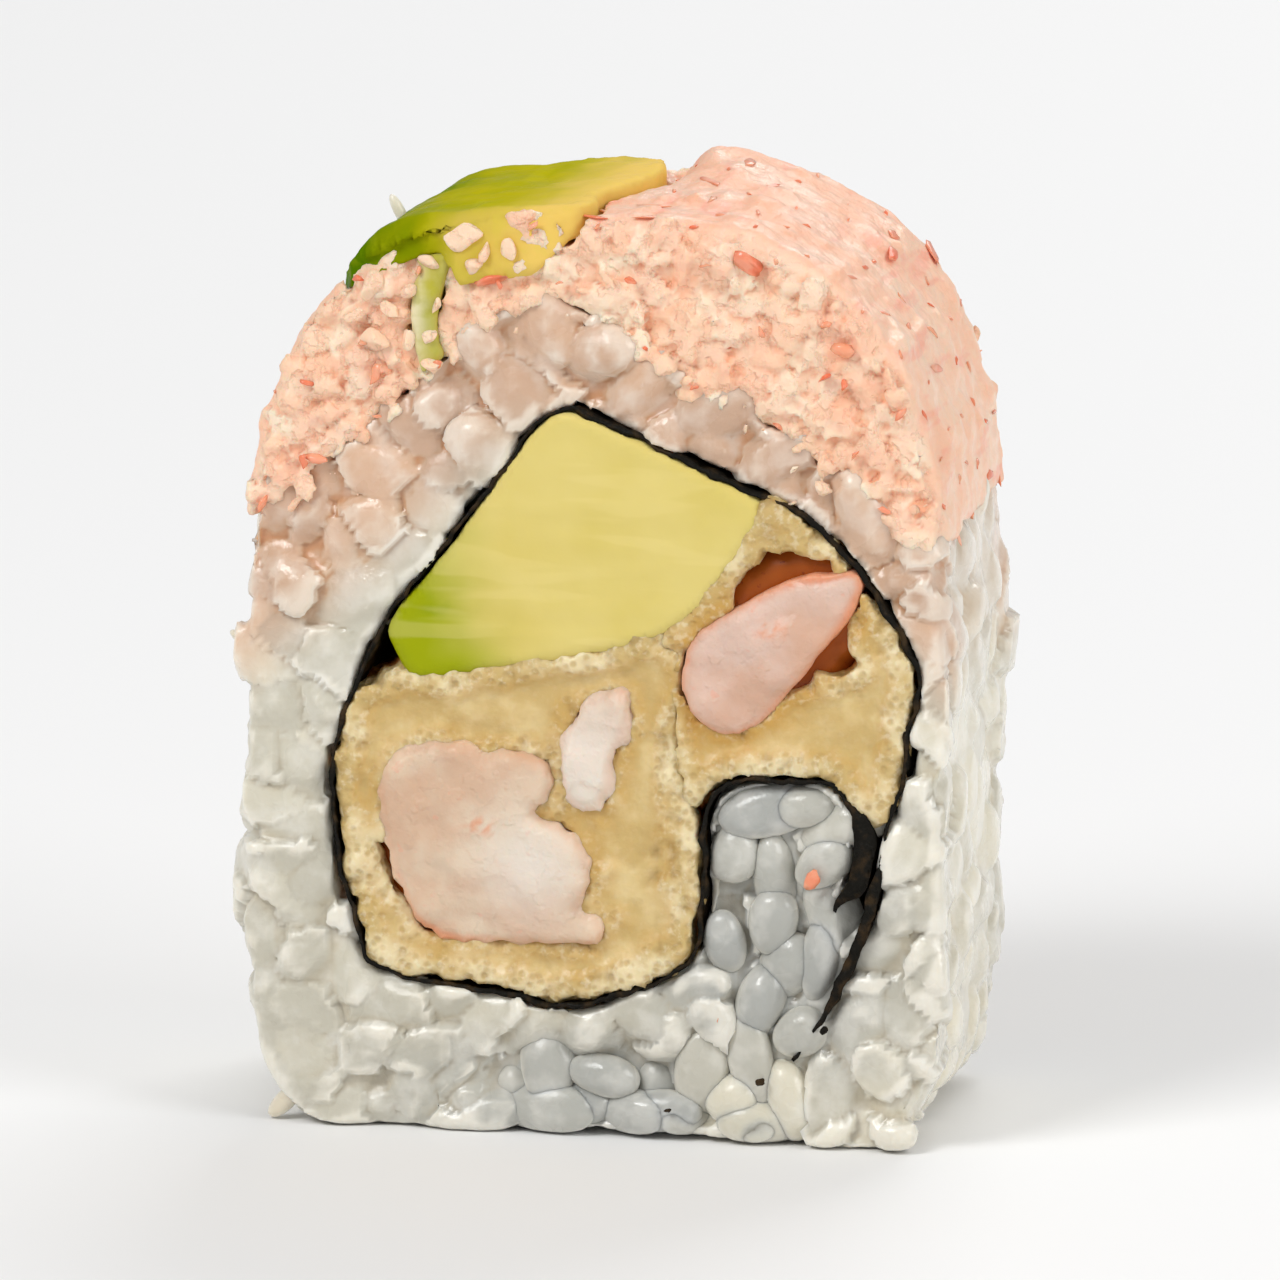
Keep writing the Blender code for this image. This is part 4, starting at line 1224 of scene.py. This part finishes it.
def new_group(name, inputs, outputs):
    """An empty node group with named number inputs and outputs."""
    group = bpy.data.node_groups.new(name, "ShaderNodeTree")
    for label, value in inputs:
        socket = group.interface.new_socket(label, in_out="INPUT", socket_type="NodeSocketFloat")
        socket.default_value = value
    for label in outputs:
        group.interface.new_socket(label, in_out="OUTPUT", socket_type="NodeSocketFloat")
    return group, add_node(group, "NodeGroupInput"), add_node(group, "NodeGroupOutput")


# %% Mottle
mottle, taken, given = new_group("soft_mottle", [("Scale", 400.0), ("Low", 0.35), ("High", 0.65)], ["Mask"])
mask = ranged(mottle, noise_value(mottle, taken.outputs["Scale"]), taken.outputs["Low"], taken.outputs["High"])
mottle.links.new(mask, given.inputs["Mask"])

# %% Moist relief
moist, taken, given = new_group(
    "moist_relief", [("Scale", 900.0), ("Dull", 0.5), ("Wet", 0.2)], ["Roughness", "Height"]
)
fine = noise_value(moist, taken.outputs["Scale"], 4.0)
broad = noise_value(moist, times(moist, taken.outputs["Scale"], 0.22), 2.0)
wetness = ranged(moist, broad, 0.4, 0.62)
roughness = add_node(moist, "ShaderNodeMix", data_type="FLOAT")
for value, socket in ((wetness, 0), (taken.outputs["Dull"], 2), (taken.outputs["Wet"], 3)):
    moist.links.new(value, roughness.inputs[socket])
moist.links.new(roughness.outputs[0], given.inputs["Roughness"])
moist.links.new(maths(moist, "ADD", fine, times(moist, broad, 0.8)), given.inputs["Height"])

# %% Threads
threads_group, taken, given = new_group("drawn_threads", [("Scale", 500.0), ("Low", 0.5), ("High", 0.62)], ["Mask"])
thread_noise = noise_value(threads_group, taken.outputs["Scale"], 3.0, stretch=(1.0, 0.18, 1.0))
mask = ranged(threads_group, thread_noise, taken.outputs["Low"], taken.outputs["High"])
threads_group.links.new(mask, given.inputs["Mask"])

# %% Pores
pores, taken, given = new_group("fine_pores", [("Scale", 1400.0), ("Size", 0.28)], ["Mask"])
mask = ranged(pores, bubble_distance(pores, taken.outputs["Scale"]), taken.outputs["Size"], 0.1)
some = ranged(pores, noise_value(pores, times(pores, taken.outputs["Scale"], 0.3), 2.0), 0.45, 0.6)
pores.links.new(times(pores, mask, some), given.inputs["Mask"])
print("node groups:", [g.name for g in bpy.data.node_groups])

# %% [markdown]
# ## Materials
#
# All of this food is translucent: light enters, spreads and comes out a millimetre away, warmer than it went in.
# Subsurface scattering gives that, with a radius near a grain's size for rice and less for the batter. Each material
# mixes its colours by masks, either painted on the mesh above or drawn by noise.

# %% Starting and finishing a material
COAT_ROUGHNESS = 0.15


def new_material(name, scatter=0.0, radius=(1.0, 0.6, 0.4), reach=1.0, coat=0.0, specular=0.5):
    """A material and its tree, with the values that are the same all over."""
    made = bpy.data.materials.new(name)
    made.use_nodes = True
    shader = made.node_tree.nodes["Principled BSDF"]
    shader.inputs["Subsurface Weight"].default_value = scatter
    shader.inputs["Subsurface Radius"].default_value = radius
    shader.inputs["Subsurface Scale"].default_value = reach * MM
    shader.inputs["Coat Weight"].default_value = coat
    shader.inputs["Coat Roughness"].default_value = COAT_ROUGHNESS
    shader.inputs["Specular IOR Level"].default_value = specular
    return made, made.node_tree


def use_group(tree, group, **values):
    node = add_node(tree, "ShaderNodeGroup", node_tree=group)
    for name, value in values.items():
        feed(tree, value, node.inputs[name])
    return node.outputs


def drawn(tree, group, scale, low, high):
    """The mask that the mottle or the threads draw."""
    return use_group(tree, group, Scale=scale, Low=low, High=high)["Mask"]


def painted(tree, name):
    """The painted masks of a mesh: three from the colour, and a fourth from its alpha."""
    node = add_node(tree, "ShaderNodeAttribute", attribute_name=name)
    split = add_node(tree, "ShaderNodeSeparateColor")
    tree.links.new(node.outputs["Color"], split.inputs["Color"])
    return [*split.outputs[:3], node.outputs["Alpha"]]


def finished(material, colour, gloss, relief, pieces, carved=()):
    """Gives a material its colour, its moist gloss (scale, dull, wet) and its relief (strength, depth), and dresses
    the pieces with it. Each carved mask sinks the relief by an amount."""
    tree = material.node_tree
    shader = tree.nodes["Principled BSDF"]
    tree.links.new(colour, shader.inputs["Base Color"])
    surface = use_group(tree, moist, Scale=gloss[0], Dull=gloss[1], Wet=gloss[2])
    tree.links.new(surface["Roughness"], shader.inputs["Roughness"])
    height = surface["Height"]
    for mask, amount in carved:
        height = maths(tree, "SUBTRACT", height, times(tree, mask, amount))
    bump = add_node(tree, "ShaderNodeBump")
    bump.inputs["Strength"].default_value = relief[0]
    bump.inputs["Distance"].default_value = relief[1] * MM
    tree.links.new(height, bump.inputs["Height"])
    tree.links.new(bump.outputs["Normal"], shader.inputs["Normal"])
    for piece in pieces:
        piece.data.materials.append(material)


# %% Rice
material, tree = new_material("moist_rice", scatter=0.6, radius=(1.0, 0.9, 0.8), reach=0.6, coat=0.35, specular=0.4)
own, tan, seaweed_tint_and_shade, crease_shade_ridge_light = painted(tree, "grain_tone")
# The own tone carries the painted shade towards the bottom.
colour = mixed(tree, ranged(tree, own, 0.0, 1.0), (0.77, 0.72, 0.58), (0.59, 0.555, 0.45))
# Loose rice turns cool grey: partly the seaweed seen through the grains, partly painted shade.
colour = mixed(tree, seaweed_tint_and_shade, colour, mixed(tree, own, (0.52, 0.51, 0.45), (0.42, 0.425, 0.40)))
colour = mixed(tree, tan, colour, mixed(tree, own, (0.72, 0.49, 0.34), (0.56, 0.38, 0.27)))
# Painted shade in the creases, warmed orange below the topping, and a painted highlight on the ridges.
colour = tinted(tree, colour, ranged(tree, crease_shade_ridge_light, 0.0, 1.0), 0.35, (0.52, 0.42, 0.26))
colour = tinted(tree, colour, times(tree, ranged(tree, crease_shade_ridge_light, 0.3, 1.0), tan), 0.7, (0.55, 0.20, 0.05))
colour = mixed(tree, ranged(tree, crease_shade_ridge_light, 0.0, -0.8, 0.0, 0.6), colour, (0.92, 0.88, 0.78))
colour = tinted(tree, colour, drawn(tree, mottle, 500.0, 0.42, 0.68), 0.30, (0.90, 0.88, 0.82))
# A painted sheen: lighter where the grains are seen edge-on.
facing = add_node(tree, "ShaderNodeLayerWeight")
facing.inputs["Blend"].default_value = 0.35
colour = tinted(tree, colour, ranged(tree, facing.outputs["Facing"], 0.15, 0.7), 0.45, (0.88, 0.85, 0.76))
colour = tinted(tree, colour, tan, 0.2, (0.66, 0.42, 0.27))
finished(material, colour, (1500.0, 0.4, 0.16), (0.45, 0.2), (loose_grains, rice_mass, stray_grains))

# %% Seaweed
material, tree = new_material("dried_seaweed", specular=0.12)
colour = mixed(tree, drawn(tree, mottle, 900.0, 0.45, 0.7), (0.006, 0.005, 0.003), (0.045, 0.026, 0.010))
finished(material, colour, (2600.0, 0.6, 0.3), (0.9, 0.25), (nori, flakes))

# %% Avocado filling
material, tree = new_material("cut_avocado", scatter=0.15, radius=(1.0, 0.8, 0.2), reach=0.4, specular=0.12)
green, smudge = painted(tree, "flesh_tone")[:2]
colour = mixed(tree, drawn(tree, mottle, 160.0, 0.3, 0.7), (0.68, 0.55, 0.15), (0.73, 0.60, 0.20))
colour = mixed(tree, green, colour, (0.33, 0.37, 0.0))
colour = tinted(tree, colour, smudge, 0.6, (0.28, 0.34, 0.01))
lines = noise_value(tree, 260.0, 2.0, stretch=(0.35, 1.0, 2.4))
colour = mixed(tree, ranged(tree, lines, 0.52, 0.6, 0.0, 0.18), colour, (0.86, 0.72, 0.30))
finished(material, colour, (1300.0, 0.55, 0.38), (0.2, 0.1), [avocado])

# %% Batter
material, tree = new_material(
    "fried_batter", scatter=0.3, radius=(1.0, 0.6, 0.3), reach=0.8, coat=0.08, specular=0.35
)
crisp, pit_shade, pocket, oily = painted(tree, "batter_tone")
fried = ranged(tree, crisp, 0.0, 1.0)
spots = drawn(tree, mottle, 420.0, 0.38, 0.66)
dough = mixed(tree, spots, (0.61, 0.43, 0.165), (0.74, 0.57, 0.275))
rim = mixed(tree, spots, (0.60, 0.43, 0.17), (0.82, 0.69, 0.42))
colour = mixed(tree, fried, dough, rim)
colour = mixed(tree, ranged(tree, crisp, 1.0, 2.0, 0.0, 0.75), colour, (0.36, 0.24, 0.08))
# Painted shade: the froth's bubble dips are darkened as well as sunk.
shaded_froth = times(tree, ranged(tree, bubble_distance(tree, 1900.0), 0.55, 0.15), fried)
colour = tinted(tree, colour, shaded_froth, 0.6, (0.50, 0.34, 0.12))
colour = tinted(tree, colour, oily, 0.6, (0.58, 0.33, 0.07))
# Painted glints: light speckles on the fried rim.
painted_glints = drawn(tree, mottle, 2300.0, 0.5, 0.68)
colour = tinted(tree, colour, painted_glints, ranged(tree, crisp, 0.0, 1.0, 0.05, 0.3), (0.92, 0.84, 0.64))
# Painted shade: the pores are darkened as well as sunk.
shaded_pores = use_group(tree, pores, Scale=1500.0, Size=0.34)["Mask"]
shaded_pores = times(tree, shaded_pores, ranged(tree, crisp, 0.0, 1.0, 0.2, 0.5))
colour = tinted(tree, colour, shaded_pores, 0.4, (0.46, 0.28, 0.09))
# Painted shade in the pits.
colour = tinted(tree, colour, pit_shade, 0.55, (0.42, 0.24, 0.06))
colour = mixed(tree, pocket, colour, (0.62, 0.20, 0.03))
finished(
    material, colour, (1600.0, 0.55, 0.3), (0.55, 0.22), (batter_large, batter_small), ((shaded_pores, 0.6), (shaded_froth, 0.6))
)

# %% Pocket walls
material, tree = new_material("oily_batter_wall", scatter=0.1, radius=(1.0, 0.4, 0.1), reach=0.4, specular=0.2)
deep = painted(tree, "wall_depth_shade")[0]
# Painted shade: darker away from the shrimp, deeper in the pocket.
colour = mixed(tree, deep, (0.32, 0.07, 0.005), (0.07, 0.007, 0.001))
colour = tinted(tree, colour, drawn(tree, mottle, 2400.0, 0.64, 0.71), 0.7, (0.16, 0.02, 0.004))
finished(material, colour, (1300.0, 0.45, 0.25), (0.3, 0.15), pocket_walls)

# %% Shrimp
material, tree = new_material(
    "cooked_shrimp", scatter=0.5, radius=(1.0, 0.6, 0.45), reach=1.0, coat=0.03, specular=0.3
)
red_edge, white, deep, rosy = painted(tree, "shrimp_tone")
patches = drawn(tree, mottle, 230.0, 0.38, 0.62)
colour = mixed(tree, patches, (0.66, 0.45, 0.31), (0.74, 0.59, 0.44))
colour = tinted(tree, colour, rosy, 0.8, mixed(tree, patches, (0.66, 0.41, 0.30), (0.72, 0.51, 0.43)))
colour = tinted(tree, colour, drawn(tree, mottle, 1100.0, 0.66, 0.74), 0.35, (0.80, 0.36, 0.24))
colour = tinted(tree, colour, white, 0.8, (0.82, 0.76, 0.68))
colour = tinted(tree, colour, red_edge, 0.75, (0.76, 0.26, 0.11))
colour = mixed(tree, deep, colour, (0.50, 0.13, 0.03))
strands = drawn(tree, threads_group, 700.0, 0.5, 0.6)
finished(material, colour, (1800.0, 0.5, 0.28), (0.7, 0.18), shrimps, [(strands, -0.35)])

# %% Crab
material, tree = new_material(
    "shredded_crab", scatter=0.45, radius=(1.0, 0.45, 0.3), reach=0.7, coat=0.05, specular=0.25
)
cut_mask, crevice_shade, own, on_top = painted(tree, "crab_tone")
patches = drawn(tree, mottle, 330.0, 0.35, 0.65)
smooth = mixed(tree, patches, (0.91, 0.54, 0.37), (0.93, 0.63, 0.46))
smooth = tinted(tree, smooth, on_top, 0.8, mixed(tree, patches, (0.85, 0.44, 0.28), (0.88, 0.54, 0.39)))
smooth = tinted(tree, smooth, drawn(tree, threads_group, 620.0, 0.56, 0.68), 0.55, (0.88, 0.34, 0.24))
torn = mixed(tree, own, (0.95, 0.56, 0.37), (0.98, 0.80, 0.61))
torn = tinted(tree, torn, patches, 0.4, (0.94, 0.55, 0.40))
# Painted shade: the shreds mask darkens the same dips that it sinks in the relief.
shreds = drawn(tree, mottle, 1500.0, 0.5, 0.68)
torn = tinted(tree, torn, shreds, 0.25, (0.90, 0.50, 0.32))
# Painted shade in the crevices.
torn = tinted(tree, torn, crevice_shade, 0.65, (0.90, 0.42, 0.23))
colour = mixed(tree, cut_mask, smooth, torn)
gaps = times(tree, shreds, cut_mask)
finished(material, colour, (1500.0, 0.5, 0.3), (0.7, 0.25), (crab, loose_crumbs), [(gaps, 0.8)])

# %% Red scraps
material, tree = new_material(
    "red_crab_skin", scatter=0.3, radius=(1.0, 0.3, 0.2), reach=0.5, coat=0.3, specular=0.45
)
own = painted(tree, "red_tone")[0]
colour = mixed(tree, own, (0.80, 0.16, 0.06), (0.88, 0.36, 0.20))
colour = tinted(tree, colour, drawn(tree, mottle, 900.0, 0.4, 0.65), 0.35, (0.92, 0.55, 0.38))
finished(material, colour, (1500.0, 0.45, 0.25), (0.4, 0.12), [red])

# %% Avocado slices
material, tree = new_material(
    "avocado_slice_skin_side", scatter=0.1, radius=(1.0, 0.9, 0.1), reach=0.3, specular=0.02
)
tree.nodes["Principled BSDF"].inputs["IOR"].default_value = 1.1
dark, yellow, smeared = painted(tree, "slice_tone")[:3]
colour = mixed(tree, drawn(tree, mottle, 260.0, 0.35, 0.65), (0.36, 0.35, 0.002), (0.44, 0.39, 0.004))
colour = mixed(tree, yellow, colour, (0.80, 0.55, 0.13))
colour = mixed(tree, dark, colour, (0.085, 0.18, 0.0004))
blotches = maths(tree, "ADD", times(tree, drawn(tree, mottle, 700.0, 0.4, 0.62), 0.5), 0.5)
colour = tinted(tree, colour, smeared, blotches, (0.84, 0.76, 0.52))
colour = tinted(tree, colour, drawn(tree, threads_group, 900.0, 0.5, 0.64), 0.12, (0.60, 0.56, 0.02))
finished(material, colour, (1100.0, 0.4, 0.2), (0.35, 0.15), (top_slice, edge_slice))
print("materials:", len(bpy.data.materials))

# %% [markdown]
# ## Floor, light and camera
#
# The piece stands on a plain pale floor under large soft lights, so that its shadows stay faint. The camera stands
# far away with a long lens, because the object's parallel edges hardly converge.

# %% Floor
floor_mesh = bpy.data.meshes.new("floor")
floor_mesh.from_pydata([(-3, -3, 0), (3, -3, 0), (3, 3, 0), (-3, 3, 0)], [], [(0, 1, 2, 3)])
linked("floor", floor_mesh)
floor_material = bpy.data.materials.new("pale_floor")
floor_material.use_nodes = True
floor_inputs = floor_material.node_tree.nodes["Principled BSDF"].inputs
floor_inputs["Base Color"].default_value = (0.86, 0.86, 0.86, 1.0)
floor_inputs["Roughness"].default_value = 0.7
floor_mesh.materials.append(floor_material)

# %% Light
world = bpy.data.worlds.new("studio")
world.use_nodes = True
sky = world.node_tree.nodes["Background"].inputs
sky["Color"].default_value, sky["Strength"].default_value = (1.0, 1.0, 1.0, 1.0), 0.44
bpy.context.scene.world = world
HALF_UP = 0.026
target = Vector((ORIGIN[0], 0.0, HALF_UP))


def aimed(thing, offset):
    """Puts a light or the camera this far from the target, looking at it."""
    thing.location = target + offset
    thing.rotation_mode = "QUATERNION"
    thing.rotation_quaternion = (-offset).to_track_quat("-Z", "Y")


def add_light(name, place, size, power):
    data = bpy.data.lights.new(name, "AREA")
    data.size = size
    data.energy = power
    aimed(linked(name, data), Vector(place))


add_light("key", (-0.35, -0.55, 0.60), 0.35, 3.8)
add_light("side", (0.65, -0.30, 0.35), 0.40, 2.1)
add_light("back", (0.1, 0.60, 0.50), 0.45, 2.2)

# %% Camera
camera_data = bpy.data.cameras.new("camera")
camera = linked("camera", camera_data)
AZIMUTH, ELEVATION, DISTANCE = math.radians(13.0), math.radians(11.5), 1.15
FRAME_HEIGHT = 0.071
SENSOR = 36.0
direction = Vector((
    math.sin(AZIMUTH) * math.cos(ELEVATION), -math.cos(AZIMUTH) * math.cos(ELEVATION), math.sin(ELEVATION)
))
aimed(camera, direction * DISTANCE)
camera_data.sensor_width = SENSOR
camera_data.lens = SENSOR * DISTANCE / FRAME_HEIGHT
camera_data.clip_start, camera_data.clip_end = 0.01, 10.0
bpy.context.scene.camera = camera
bpy.context.scene.view_settings.view_transform = "Standard"
print("lens:", round(camera_data.lens), "mm")
